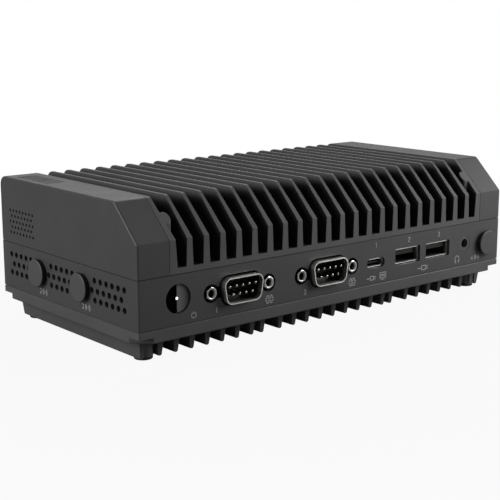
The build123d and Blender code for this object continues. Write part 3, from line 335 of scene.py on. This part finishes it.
finishes = {
    "case_plastic": dark_finish("case_moulding", 0.050, 0.058, 0.46, "moulded_grain", 0.00002, 4200.0),
    "tray_aluminium": dark_finish("tray_powder_coat", 0.072, 0.083, 0.50, "powder_coat", 0.00003, 2600.0),
    # The plugs' sides are painted nearly black: painted shade in the gap under each cap.
    "plug_rubber": dark_finish("plug_moulding", 0.050, 0.058, 0.52, "moulded_grain", 0.00002, 3600.0,
                               painted_shade_axis="Y"),
    "side_plug_rubber": dark_finish(
        "side_plug_moulding", 0.066, 0.074, 0.52, "moulded_grain", 0.00002, 3600.0, painted_shade_axis="X"),
    "badge": dark_finish("badge_satin", 0.016, 0.020, 0.30, "moulded_grain", 0.00001, 5200.0),
    "foot_rubber": dark_finish("foot_rubber", 0.018, 0.026, 0.72, "moulded_grain", 0.00004, 2600.0),
    "switch_plastic": dark_finish("switch_moulding", 0.020, 0.026, 0.45, "moulded_grain", 0.00001, 4200.0),
    "socket_plastic": dark_finish("socket_moulding", 0.010, 0.013, 0.42, "moulded_grain", 0.00001, 4800.0),
    "headset_moulding": dark_finish("headset_moulding", 0.075, 0.085, 0.34, "moulded_grain", 0.00001, 4800.0),
    "chip_black": dark_finish("chip_epoxy", 0.020, 0.028, 0.50, "moulded_grain", 0.00001, 5200.0),
    "speaker_plastic": dark_finish("speaker_fibre", 0.012, 0.020, 0.60, "powder_coat", 0.00005, 1500.0),
    "pad_silicone": dark_finish("pad_silicone", 0.28, 0.34, 0.65, "moulded_grain", 0.00003, 2200.0),
}
print(len(finishes), "finishes so far")

# %% [markdown]
# ## The lid's slots
# The lid is powder-coated like the tray, and the slots between its fins read as black. A very dark room
# could do this with shade alone, but it would also darken the front. So the shade is painted here: a mask
# grows with depth below the fin tips, on the surfaces that face sideways or form the slots' floor, and
# moves the coat towards black. It is a choice for the look, and not a second coating on the real lid.

# %% The lid's powder coat
lid_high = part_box("top_heatsink")[1]
band_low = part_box("mid_frame")[0]
SLOT_FADE = 3.5 * MM

material, tree, shader, place = start_material("lid_powder_coat", 0.50)
shader.inputs["Specular IOR Level"].default_value = 0.3
skin = add_group(tree, "powder_coat", place, Grains_per_metre=2600.0)
smudge = add_group(tree, "hand_smudges", place).outputs["Smudge"]
film = maths(tree, "MULTIPLY", add_group(tree, "settled_dust", place).outputs["Dust"], 0.06)
point = tree.nodes.new("ShaderNodeSeparateXYZ")
tree.links.new(place, point.inputs["Vector"])
sideways = ramp(tree, facing_along(tree, "X"), 0.5, 0.9)
deep = ramp(tree, point.outputs["Z"], lid_high.z - SLOT_FADE, lid_high.z - 0.3 * MM, 1.0, 0.25)
floor_up = ramp(tree, facing_along(tree, "Z"), 0.8, 0.95)
low_down = ramp(tree, point.outputs["Z"], lid_high.z - 9.0 * MM, lid_high.z - 4.0 * MM, 1.0, 0.0)
side_mask = maths(tree, "MULTIPLY", sideways, deep)
floor_mask = maths(tree, "MULTIPLY", floor_up, low_down)
slot_mask = maths(tree, "MAXIMUM", side_mask, floor_mask)
coat = mix_colours(tree, skin.outputs["Mottle"], tone(0.084), tone(0.096))
dusty = mix_colours(tree, film, coat, DUST_TONE)
tree.links.new(mix_colours(tree, slot_mask, dusty, tone(0.006)), shader.inputs["Base Color"])
tree.links.new(maths(tree, "MULTIPLY_ADD", smudge, -0.08, maths(tree, "MULTIPLY_ADD", slot_mask, 0.3, 0.50)),
               shader.inputs["Roughness"])
add_bump(tree, shader, skin.outputs["Height"], 0.000015)
finishes["lid_aluminium"] = material
print("lid coat fades to black over", SLOT_FADE / MM, "mm")

# %% [markdown]
# ## Metals
# Nickel plate on the sockets' shells is bright and slightly streaked. Zinc on the screws is duller and
# greyer, and gold on the contacts is warm. All three are the same idea: a metallic shader whose colour and
# roughness move with the streaks. A flat mirror would look like liquid.

# %% Plated metals
def plated_metal(name, dark, light, rough, spread, lines=3200.0, painted_shade_y=None, painted_shade_factor=0.15):
    """A plated metal: streaks move it between two tones and two roughnesses; smudges dull it. Between the two
    y values of painted_shade_y it is painted darker, as painted shade, because the inside of a socket sees no
    light."""
    material, tree, shader, place = start_material(name, rough, 1.0)
    streak = add_group(tree, "plating_streaks", place, Lines_per_metre=lines).outputs["Streak"]
    smudge = add_group(tree, "hand_smudges", place, Patches_per_metre=220.0).outputs["Smudge"]
    plate = mix_colours(tree, streak, dark, light)
    if painted_shade_y:
        point = tree.nodes.new("ShaderNodeSeparateXYZ")
        tree.links.new(place, point.inputs["Vector"])
        inside = ramp(tree, point.outputs["Y"], *painted_shade_y)
        plate = mix_colours(tree, inside, plate, tuple(painted_shade_factor * c for c in dark))
    tree.links.new(plate, shader.inputs["Base Color"])
    brushed = maths(tree, "MULTIPLY_ADD", streak, spread, rough)
    tree.links.new(maths(tree, "MULTIPLY_ADD", smudge, 0.08, brushed, clamp=True), shader.inputs["Roughness"])
    add_bump(tree, shader, streak, 0.000004)
    return material


finishes["shell_metal"] = plated_metal("nickel_plate", (0.62, 0.61, 0.59), (0.80, 0.79, 0.77), 0.20, 0.10)
serial_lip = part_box("serial_1_shell")[0].y
usb_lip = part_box("usb_a_1_shell")[0].y
jack_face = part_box("serial_jackscrews")[0].y
# Painted shade: the shells darken inside the sockets, and the jackscrews darken behind their front faces.
finishes["serial_shell"] = plated_metal(
    "nickel_serial", (0.86, 0.85, 0.82), (0.98, 0.97, 0.94), 0.38, 0.08,
    painted_shade_y=(serial_lip + 0.6 * MM, serial_lip + 3.0 * MM))
finishes["usb_shell"] = plated_metal(
    "nickel_usb", (0.84, 0.83, 0.81), (0.97, 0.96, 0.94), 0.36, 0.08,
    painted_shade_y=(usb_lip + 0.3 * MM, usb_lip + 2.2 * MM))
finishes["jackscrew_steel"] = plated_metal(
    "jackscrew_nickel", (0.66, 0.66, 0.65), (0.86, 0.86, 0.84), 0.26, 0.10,
    painted_shade_y=(jack_face + 0.1 * MM, jack_face + 0.7 * MM), painted_shade_factor=0.08)
finishes["screw_steel"] = plated_metal("zinc_plate", (0.38, 0.38, 0.39), (0.52, 0.52, 0.54), 0.34, 0.14)
finishes["contact_metal"] = plated_metal("contact_gold", (0.78, 0.68, 0.48), (0.92, 0.84, 0.66), 0.22, 0.10)
finishes["copper"] = plated_metal(
    "machined_copper", (0.62, 0.30, 0.19), (0.80, 0.44, 0.30), 0.26, 0.16, 1800.0)
finishes["capacitor_metal"] = plated_metal(
    "can_aluminium", (0.60, 0.60, 0.62), (0.76, 0.76, 0.78), 0.30, 0.12)
print("metals:", [k for k in finishes if "metal" in k or "steel" in k or k == "copper"])

# %% [markdown]
# ## The power button
# The button has a shallow valley across its face. Its left slope is painted nearly black and glossy as
# painted shade. Its right one is a satin light grey as painted light, painted darker towards its right edge
# as painted shade. Two pieces of plastic would do it too, but the CAD keeps one button, so the two looks meet
# in the material, at the button's own middle. The light pipe in its centre is clear acrylic and glows.

# %% Button and light pipe
button_low, button_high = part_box("power_button")
button_mid = (button_low.x + button_high.x) / 2
SPLIT = 0.06 * MM

material, tree, shader, place = start_material("button_painted_light_and_shade", 0.4)
shader.inputs["Specular IOR Level"].default_value = 0.03
shader.inputs["IOR"].default_value = 1.1
point = tree.nodes.new("ShaderNodeSeparateXYZ")
tree.links.new(place, point.inputs["Vector"])
# Painted light and shade: the left half is painted nearly black as painted shade, the right half a light grey
# as painted light.
right_half = ramp(tree, point.outputs["X"], button_mid - SPLIT, button_mid + SPLIT)
grain = add_group(tree, "moulded_grain", place, Grains_per_metre=5200.0)
satin_painted_light = mix_colours(tree, grain.outputs["Mottle"], tone(0.165), tone(0.180))
# Painted shade: the right half darkens towards its right edge.
painted_edge_shade = ramp(tree, point.outputs["X"], button_mid + 0.5 * MM, button_high.x + 0.5 * MM)
satin_painted_light = mix_colours(tree, painted_edge_shade, satin_painted_light, tone(0.012))
tree.links.new(mix_colours(tree, right_half, tone(0.0004), satin_painted_light), shader.inputs["Base Color"])
smudge = add_group(tree, "hand_smudges", place, Patches_per_metre=300.0).outputs["Smudge"]
gloss = maths(tree, "MULTIPLY_ADD", smudge, 0.05, maths(tree, "MULTIPLY_ADD", right_half, 0.28, 0.14))
tree.links.new(gloss, shader.inputs["Roughness"])
add_bump(tree, shader, maths(tree, "MULTIPLY", grain.outputs["Height"], right_half), 0.00001)
finishes["button_plastic"] = material

material, tree, shader, place = start_material("light_pipe_lit", 0.2)
shader.inputs["Coat Weight"].default_value = 0.5
core = add_group(tree, "hand_smudges", place, Patches_per_metre=900.0).outputs["Smudge"]
tree.links.new(mix_colours(tree, core, (0.80, 0.85, 0.90), (0.95, 0.97, 1.0)), shader.inputs["Base Color"])
tree.links.new(mix_colours(tree, core, (0.85, 0.93, 1.0), (1.0, 1.0, 1.0)), shader.inputs["Emission Color"])
shader.inputs["Emission Strength"].default_value = 1.0
finishes["light_pipe"] = material
print("button split at x =", round(button_mid / MM, 2), "mm")

# %% [markdown]
# ## Moulded insulators and circuit boards
# The sockets' insulators are glass-filled nylon, glossier than the case and faintly olive. A board is
# green solder mask over copper, and its traces show as slightly lighter lanes. The lanes are noise snapped
# to steps along two axes. Drawing each trace would be lost at this size.

# %% Insulators and laminate
finishes["insulator_plastic"] = dark_finish(
    "insulator_nylon", 0.0075, 0.0120, 0.26, "moulded_grain", 0.000008, 3000.0,
    dust=0.0, tint=(1.06, 1.0, 0.80))

material, tree, shader, place = start_material("solder_mask", 0.35)
lanes = noise(tree, stretch(tree, place, (1.0, 0.12, 1.0)), 700.0, 0.0)
crossing = noise(tree, stretch(tree, place, (0.12, 1.0, 1.0)), 600.0, 0.0)
trace = maths(tree, "MAXIMUM", ramp(tree, lanes, 0.55, 0.58), ramp(tree, crossing, 0.58, 0.61))
laminate = mix_colours(tree, trace, (0.008, 0.050, 0.026), (0.016, 0.095, 0.046))
tree.links.new(laminate, shader.inputs["Base Color"])
tree.links.new(maths(tree, "MULTIPLY_ADD", trace, -0.08, 0.36), shader.inputs["Roughness"])
add_bump(tree, shader, trace, 0.00003)
finishes["board_laminate"] = material

material, tree, shader, place = start_material("pin_gold", 0.25, 1.0)
pin_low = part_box("serial_1_pins")[0]
point = tree.nodes.new("ShaderNodeSeparateXYZ")
tree.links.new(place, point.inputs["Vector"])
# Painted shade: behind their tips the pins are painted nearly black, for the shade deep in the socket.
painted_shaft_shade = ramp(tree, point.outputs["Y"], pin_low.y + 0.05 * MM, pin_low.y + 0.40 * MM)
streak = add_group(tree, "plating_streaks", place).outputs["Streak"]
tip = mix_colours(tree, streak, (0.46, 0.45, 0.41), (0.60, 0.59, 0.54))
tree.links.new(mix_colours(tree, painted_shaft_shade, tip, (0.030, 0.028, 0.022)), shader.inputs["Base Color"])
tree.links.new(maths(tree, "MULTIPLY_ADD", painted_shaft_shade, 0.3, 0.25), shader.inputs["Roughness"])
pin_finish = material

slot_of = {s["node"]: s["material_slot"] for s in frame["record"]["subparts"]}
for name, node in nodes.items():
    node.data.materials.clear()
    finish = finishes[slot_of[name]]
    if name.startswith("antenna_plug_left"):
        finish = finishes["side_plug_rubber"]
    if name.startswith("serial") and name.endswith("pins"):
        finish = pin_finish
    if name.startswith("serial") and name.endswith("shell"):
        finish = finishes["serial_shell"]
    if name.startswith("usb") and name.endswith("shell"):
        finish = finishes["usb_shell"]
    if name == "headset_jack":
        finish = finishes["headset_moulding"]
    node.data.materials.append(finish)
print(len(nodes), "CAD nodes finished with", len(finishes), "materials")

# %% [markdown]
# ## New pieces: from arrays to a mesh
# Every new piece below is worked out as whole numpy arrays. The helper takes any number of small closed
# shells, each as points and faces, joins them into one mesh in place, and makes it ride on a CAD body. The
# object itself stays at the origin, as the CAD nodes do, so patterns in object space stay put.

# %% Mesh helper
def make_piece(name, shells, material, body, smooth_below=35.0):
    """One object from a list of (points in metres, faces), riding on a body."""
    start = np.cumsum([0] + [len(points) for points, _ in shells])
    points = np.concatenate([p for p, _ in shells])
    faces = [tuple(int(i) + int(s) for i in f) for (_, fs), s in zip(shells, start) for f in fs]
    mesh = bpy.data.meshes.new(name)
    mesh.from_pydata(points.tolist(), [], faces)
    mesh.shade_smooth()
    mesh.set_sharp_from_angle(angle=math.radians(smooth_below))
    mesh.materials.append(material)
    piece = bpy.data.objects.new(name, mesh)
    bpy.context.scene.collection.objects.link(piece)
    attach(piece, body)
    print(name, len(shells), "shells,", len(faces), "faces")
    return piece


# %% [markdown]
# ## A ribbon along a path
# Printed marks and bent contact springs are the same shape: a flat strip that follows a line. The path's
# points are pushed out to both sides along the mitre, the mean of the two neighbouring normals made longer
# as the corner gets sharper, and then given a height. The mitre is limited so that no corner spikes.

# %% Ribbons
MITRE_LIMIT = 0.6


def ribbon(path, width, height, closed=False):
    """A closed strip on a flat path (u, v). Each point p becomes p plus and minus the mitre times half the
    width, where the mitre is the sum of the neighbouring normals over one plus their dot product, at
    w = 0 and w = height. Returns (u, v, w) points and faces that point outwards."""
    path = np.asarray(path, float)
    count = len(path)
    ahead = np.roll(path, -1, axis=0) - path
    if not closed:
        ahead[-1] = ahead[-2]
    ahead /= np.linalg.norm(ahead, axis=1, keepdims=True)
    normal = np.stack([-ahead[:, 1], ahead[:, 0]], axis=1)
    before = np.roll(normal, 1, axis=0)
    if not closed:
        before[0] = normal[0]
    dot = (normal * before).sum(axis=1, keepdims=True)
    mitre = (normal + before) / np.maximum(1.0 + dot, MITRE_LIMIT)
    left, right = path + mitre * width / 2, path - mitre * width / 2
    low, high = np.zeros((count, 1)), np.full((count, 1), height)
    ring = np.stack([np.hstack([left, low]), np.hstack([left, high]),
                     np.hstack([right, high]), np.hstack([right, low])], axis=1)
    here = np.arange(count if closed else count - 1)[:, None] * 4
    there = (here + 4) % (4 * count)
    corner, turn = np.arange(4)[None, :], (np.arange(4)[None, :] + 1) % 4
    quads = np.stack([here + corner, here + turn, there + turn, there + corner], axis=2).reshape(-1, 4)
    faces = quads.tolist()
    if not closed:
        last = 4 * (count - 1)
        faces += [[0, 3, 2, 1], [last, last + 1, last + 2, last + 3]]
    return ring.reshape(-1, 3), faces


def arc(centre, radius, start, end, count=14):
    """Points on a circle from one angle to another, in degrees."""
    a = np.radians(np.linspace(start, end, count))
    return np.stack([centre[0] + radius * np.cos(a), centre[1] + radius * np.sin(a)], axis=1)


print("ribbon of a straight line has", len(ribbon([(0, 0), (1, 0)], 0.1, 0.1)[1]), "faces")

# %% [markdown]
# ## The printed marks
# Small light-grey marks are pad-printed beside the ports: numbers, a power sign, square waves for the
# serial ports, a plug, a screen, a headset and radio waves. A font would bring letters that nobody needs,
# so each mark is a handful of strokes in millimetres, drawn about its own middle. All are generic.

# %% Strokes of the marks
def strokes(*paths):
    """Open paths as a list of (points, closed)."""
    return [(np.asarray(p, float), False) for p in paths]


def outline(*points):
    """One closed path."""
    return [(np.asarray(points, float), True)]


def square_wave(width, height, middle):
    """A row of two pulses: the level flips at equal steps along the row; a negative height starts high."""
    steps = np.repeat(np.linspace(-width / 2, width / 2, 6), 2)[1:-1]
    levels = np.array([0, 0, 1, 1, 0, 0, 1, 1, 0, 0]) - 0.5
    return np.stack([steps, middle + height * levels], axis=1)


ONE = strokes([(-0.35, 0.55), (0.05, 0.85), (0.05, -0.85)])
TWO = strokes(np.vstack([arc((0.0, 0.38), 0.46, 165, -35), [(-0.5, -0.85), (0.55, -0.85)]]))
THREE = strokes(arc((0.0, 0.42), 0.42, 150, -90), arc((0.0, -0.40), 0.46, 90, -150))
FOUR = strokes([(0.25, -0.85), (0.25, 0.85), (-0.5, -0.3), (0.55, -0.3)])
POWER = strokes(arc((0.0, 0.0), 1.0, 122, 418, 28), [(0.0, 0.25), (0.0, 1.25)])
WAVES = strokes(square_wave(3.9, 0.95, 0.95), square_wave(3.9, -0.95, -0.75))
PLUG = strokes([(-3.2, 0.0), (-1.0, 0.0)], [(1.1, 0.42), (2.4, 0.42)], [(1.1, -0.42), (2.4, -0.42)])
PLUG += outline((-1.0, -0.8), (1.1, -0.8), (1.1, 0.8), (-1.0, 0.8))
SCREEN = outline((-1.6, -0.7), (1.6, -0.7), (1.6, 1.3), (-1.6, 1.3))
SCREEN += strokes([(-1.3, 0.1), (1.3, 0.1)], [(-1.3, 0.5), (1.3, 0.5)], [(-0.9, -1.35), (0.9, -1.35)])
HEADSET = strokes(np.vstack([[(-1.2, -0.9)], arc((0.0, 0.35), 1.2, 180, 0, 18), [(1.2, -0.9)]]))
HEADSET += strokes([(-0.85, -0.2), (-0.85, -1.5)], [(0.85, -0.2), (0.85, -1.5)])
RADIO = strokes(arc((0, 0), 0.75, 130, 230, 8), arc((0, 0), 1.45, 130, 230, 10), [(-0.12, 0.0), (0.12, 0.0)],
                arc((0, 0), 0.75, 50, -50, 8), arc((0, 0), 1.45, 50, -50, 10))
MARKS = (ONE, TWO, THREE, FOUR, POWER, WAVES, PLUG, SCREEN, HEADSET, RADIO)
print(len(MARKS), "marks of", sum(len(mark) for mark in MARKS), "strokes")

# %% [markdown]
# A flat drawing goes onto a face by a simple change of axes: u runs to the reader's right, v runs up and w
# comes out of the face. The ink is a real layer, a few hundredths of a millimetre thick, so that it has an
# edge of its own and survives an export to any mesh format. It is speckled by the grain below it.

# %% Print the marks
INK_THICK = 0.03
INK_WIDTH = 0.27


def on_face(mark, at, u_axis, w_axis, width=INK_WIDTH, scale=1.0):
    """A mark's ribbons in space: origin plus u, v and w times their axes, from millimetres to metres."""
    shells = []
    for path, closed in mark:
        flat, faces = ribbon(path * scale, width, INK_THICK, closed)
        spread = flat @ np.array([u_axis, (0, 0, 1), w_axis])
        shells.append((np.array(at) + spread * MM, faces))
    return shells


material, tree, shader, place = start_material("mark_ink", 0.55)
grain = add_group(tree, "moulded_grain", place, Grains_per_metre=4200.0)
grey = mix_colours(tree, grain.outputs["Mottle"], tone(0.33), tone(0.40))
tree.links.new(grey, shader.inputs["Base Color"])
add_bump(tree, shader, grain.outputs["Height"], 0.00001)
ink = material

# Each mark's middle, in millimetres: from the band's left face and above the lower seam, then its scale.
front_marks = [
    (POWER, 21.9, 2.6, 0.95), (ONE, 31.4, 2.6, 1.0), (WAVES, 54.6, 2.6, 1.0),
    (TWO, 71.25, 2.6, 1.0), (WAVES, 94.7, 2.6, 1.0),
    (ONE, 107.1, 14.9, 1.0), (PLUG, 105.0, 2.6, 0.85), (SCREEN, 110.9, 2.7, 1.0),
    (TWO, 125.0, 14.9, 1.0), (PLUG, 133.6, 2.6, 1.05), (THREE, 142.0, 14.9, 1.0),
    (HEADSET, 153.4, 3.0, 1.0), (FOUR, 162.6, 2.5, 0.9), (RADIO, 165.6, 2.5, 0.9),
]
shells = []
for mark, x, z, scale in front_marks:
    at = (band_low.x + x * MM, band_low.y, band_low.z + z * MM)
    shells += on_face(mark, at, (1, 0, 0), (0, -1, 0), scale=scale)
make_piece("front_marks", shells, ink, "case")

shells = []
for digit, y in ((TWO, 60.1), (THREE, 31.5)):
    for mark, shift in ((digit, 1.9), (RADIO, -1.1)):
        at = (band_low.x, band_low.y + (y + shift) * MM, band_low.z + 2.75 * MM)
        shells += on_face(mark, at, (0, -1, 0), (-1, 0, 0))
make_piece("left_marks", shells, ink, "case")

# %% [markdown]
# ## The jackscrews
# Each serial port is flanked by two hexagonal standoffs that a cable's thumbscrews bite into. Their look is
# in three details: corners turned off at an angle, a countersunk mouth, and a thread inside. A boolean with
# a modelled helix would be slow and fragile. As a surface of two parameters it is one formula: the radius is
# the smaller of the hexagon and a cone outside, and inside it rises and falls with the turn plus the depth.

# %% Jackscrew surface
HEX_ACROSS = 4.1
BORE_R = 1.12
THREAD_DEPTH = 0.20
THREAD_PITCH = 0.635
MOUTH_R = 1.55
CONE_SLOPE = 1.7
STUD_R = 1.4
COLUMNS = 72


def jackscrew(depth, stud):
    """A jackscrew that points along -y with its face at y = 0, in millimetres. Rings run from the bottom of
    the bore out over the face and back to the stud's end. Thread: radius = bore + depth of thread times a
    triangle wave of (y / pitch + angle / full turn). Outside: radius = min(hexagon, cone)."""
    angle = np.linspace(0.0, 2 * np.pi, COLUMNS, endpoint=False)
    fold = (angle + np.pi / 6) % (np.pi / 3) - np.pi / 6
    hexagon = HEX_ACROSS / 2 / np.cos(fold)
    round_one = np.ones(COLUMNS)
    y_thread = np.arange(depth - 0.6, 0.5, -THREAD_PITCH / 8)
    phase = y_thread[:, None] / THREAD_PITCH + angle[None, :] / (2 * np.pi)
    tooth = 1.0 - np.abs(2.0 * (phase % 1.0) - 1.0)
    thread = BORE_R + THREAD_DEPTH * tooth
    y_cone = np.array([0.0, 0.06, 0.12, 0.2, 0.3])
    cone = np.minimum(hexagon[None, :], HEX_ACROSS / 2 * 0.97 + CONE_SLOPE * y_cone[:, None])
    radii = np.vstack([
        BORE_R * 0.9 * round_one, thread, (BORE_R + THREAD_DEPTH) * round_one, MOUTH_R * round_one,
        (MOUTH_R + 0.08) * round_one, cone, hexagon, hexagon,
        STUD_R * round_one, STUD_R * round_one, (STUD_R - 0.2) * round_one])
    ys = np.concatenate([[depth - 0.5], y_thread, [0.42, 0.05, 0.0], y_cone, [0.5, depth],
                         [depth, depth + stud - 0.2, depth + stud]])
    along = np.broadcast_to(ys[:, None], radii.shape)
    points = np.stack([radii * np.cos(angle), along, radii * np.sin(angle)], 2)
    rings = len(ys)
    ring, column = np.meshgrid(np.arange(rings - 1), np.arange(COLUMNS), indexing="ij")
    side = (column + 1) % COLUMNS
    quads = np.stack([ring * COLUMNS + column, ring * COLUMNS + side,
                      (ring + 1) * COLUMNS + side, (ring + 1) * COLUMNS + column], 2).reshape(-1, 4)
    poles = np.array([[0.0, ys[0], 0.0], [0.0, ys[-1], 0.0]])
    first = rings * COLUMNS
    edge = np.arange(COLUMNS)
    following = (edge + 1) % COLUMNS
    start_fan = np.stack([np.full(COLUMNS, first), following, edge], 1)
    last_ring = (rings - 1) * COLUMNS
    end_fan = np.stack([np.full(COLUMNS, first + 1), last_ring + edge, last_ring + following], 1)
    return np.vstack([points.reshape(-1, 3), poles]), quads.tolist() + start_fan.tolist() + end_fan.tolist()


def outward(points, faces):
    """The same shell with its faces turned so that the volume they enclose is positive."""
    corners = np.array([f[:3] for f in faces] + [(f[0], f[2], f[3]) for f in faces if len(f) == 4])
    a, b, c = (points[corners[:, k]] for k in range(3))
    volume = float((a * np.cross(b, c)).sum() / 6.0)
    return faces if volume > 0 else [f[::-1] for f in faces]


old_low, old_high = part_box("serial_jackscrews")
JACK_HALF = 12.495 * MM
JACK_STUD = 4.0
screw_z = (old_low.z + old_high.z) / 2
screw_points, screw_faces = jackscrew((old_high.y - old_low.y) / MM - JACK_STUD, JACK_STUD)
screw_faces = outward(screw_points, screw_faces)
shells = []
for port in ("serial_1_shell", "serial_2_shell"):
    low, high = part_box(port)
    for side in (-1, 1):
        at = np.array(((low.x + high.x) / 2 + side * JACK_HALF, old_low.y, screw_z))
        shells.append((at + screw_points * MM, screw_faces))
jacks = make_piece("threaded_jackscrews", shells, finishes["jackscrew_steel"], "case")
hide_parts("serial_jackscrews")

# %% [markdown]
# ## Contact springs
# A socket works by thin gilt springs that press on the plug. The ribbon makes them too: this time the path
# is the bent side view of a spring, its width is the metal's thickness, and its height is how wide the
# spring is. They sit under the sockets' tongues and at the bottom of the headset bore.

# %% Springs in the sockets
def spring(at, path, thick, wide):
    """A bent strip: the path's u runs into the case (+y) and v runs up; the strip is centred in x."""
    flat, faces = ribbon(path, thick, wide)
    local = np.stack([flat[:, 2] - wide / 2, flat[:, 0], flat[:, 1]], axis=1)
    return np.array(at) + local * MM, faces


def contacts(name, node, offsets, path, thick, wide, rise, depth):
    """A row of equal springs along x in the socket of one CAD node."""
    low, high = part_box(node)
    middle_x, middle_z = (low.x + high.x) / 2, (low.z + high.z) / 2
    shells = [spring((middle_x + x * MM, low.y + depth * MM, middle_z + rise * MM), path, thick, wide)
              for x in offsets]
    shells = [(p, outward(p, f)) for p, f in shells]
    return make_piece(name, shells, finishes["contact_metal"], "case")


A_SPRING = [(0.0, 0.10), (0.5, -0.16), (1.3, -0.22), (2.4, -0.10), (7.0, -0.10)]
C_SPRING = [(0.0, -0.04), (0.4, -0.06), (4.5, -0.06)]
for number in (1, 2):
    contacts(f"usb_a_{number}_contacts", f"usb_a_{number}_tongue", (-3.5, -1.0, 1.0, 3.5), A_SPRING,
             0.15, 1.0, 0.3, 0.5)
contacts("usb_c_contacts", "usb_c_tongue", np.arange(-2.75, 3.0, 0.5), C_SPRING, 0.08, 0.25, -0.35, 0.5)
SPRING_CURVE = [(0.0, 0.0), (1.0, 0.15), (1.9, 0.75), (2.5, 0.85), (3.1, 0.70), (4.6, 0.0)]
contacts("headset_spring", "headset_jack", (0.0,), SPRING_CURVE, 0.18, 1.1, -1.55, 1.6)

# %% [markdown]
# ## The floor
# The machine stands on plain white paper. A white floor under soft light is never quite white, so the paper
# also sends a little light of its own to the camera. It does so more with distance, so that it runs into
# the white sky with no horizon, and it keeps a soft contact shadow close to the machine.

# %% Floor
FLOOR_HALF = 20.0
floor_mesh = bpy.data.meshes.new("studio_paper")
corners = np.array([(-1, -1, 0), (1, -1, 0), (1, 1, 0), (-1, 1, 0)]) * FLOOR_HALF
floor_mesh.from_pydata(corners.tolist(), [], [(0, 1, 2, 3)])
floor = bpy.data.objects.new("studio_paper", floor_mesh)
bpy.context.scene.collection.objects.link(floor)
material, tree, shader, place = start_material("studio_paper", 0.9)
fibre = ramp(tree, noise(tree, place, 900.0, 3.0), 0.3, 0.7)
tree.links.new(mix_colours(tree, fibre, (0.24, 0.24, 0.24), (0.27, 0.27, 0.27)), shader.inputs["Base Color"])
shader.inputs["Specular IOR Level"].default_value = 0.0
reach = tree.nodes.new("ShaderNodeVectorMath")
reach.operation = "LENGTH"
tree.links.new(place, reach.inputs[0])
glow = tree.nodes.new("ShaderNodeEmission")
ray = tree.nodes.new("ShaderNodeLightPath")
blend = tree.nodes.new("ShaderNodeMixShader")
own_light = ramp(tree, reach.outputs["Value"], 0.12, 0.40, 0.93, 1.0)
share = maths(tree, "MULTIPLY", own_light, ray.outputs["Is Camera Ray"])
tree.links.new(share, blend.inputs["Fac"])
tree.links.new(shader.outputs[0], blend.inputs[1])
tree.links.new(glow.outputs[0], blend.inputs[2])
tree.links.new(blend.outputs[0], tree.nodes["Material Output"].inputs["Surface"])
floor_mesh.materials.append(material)
print("paper", 2 * FLOOR_HALF, "m wide")
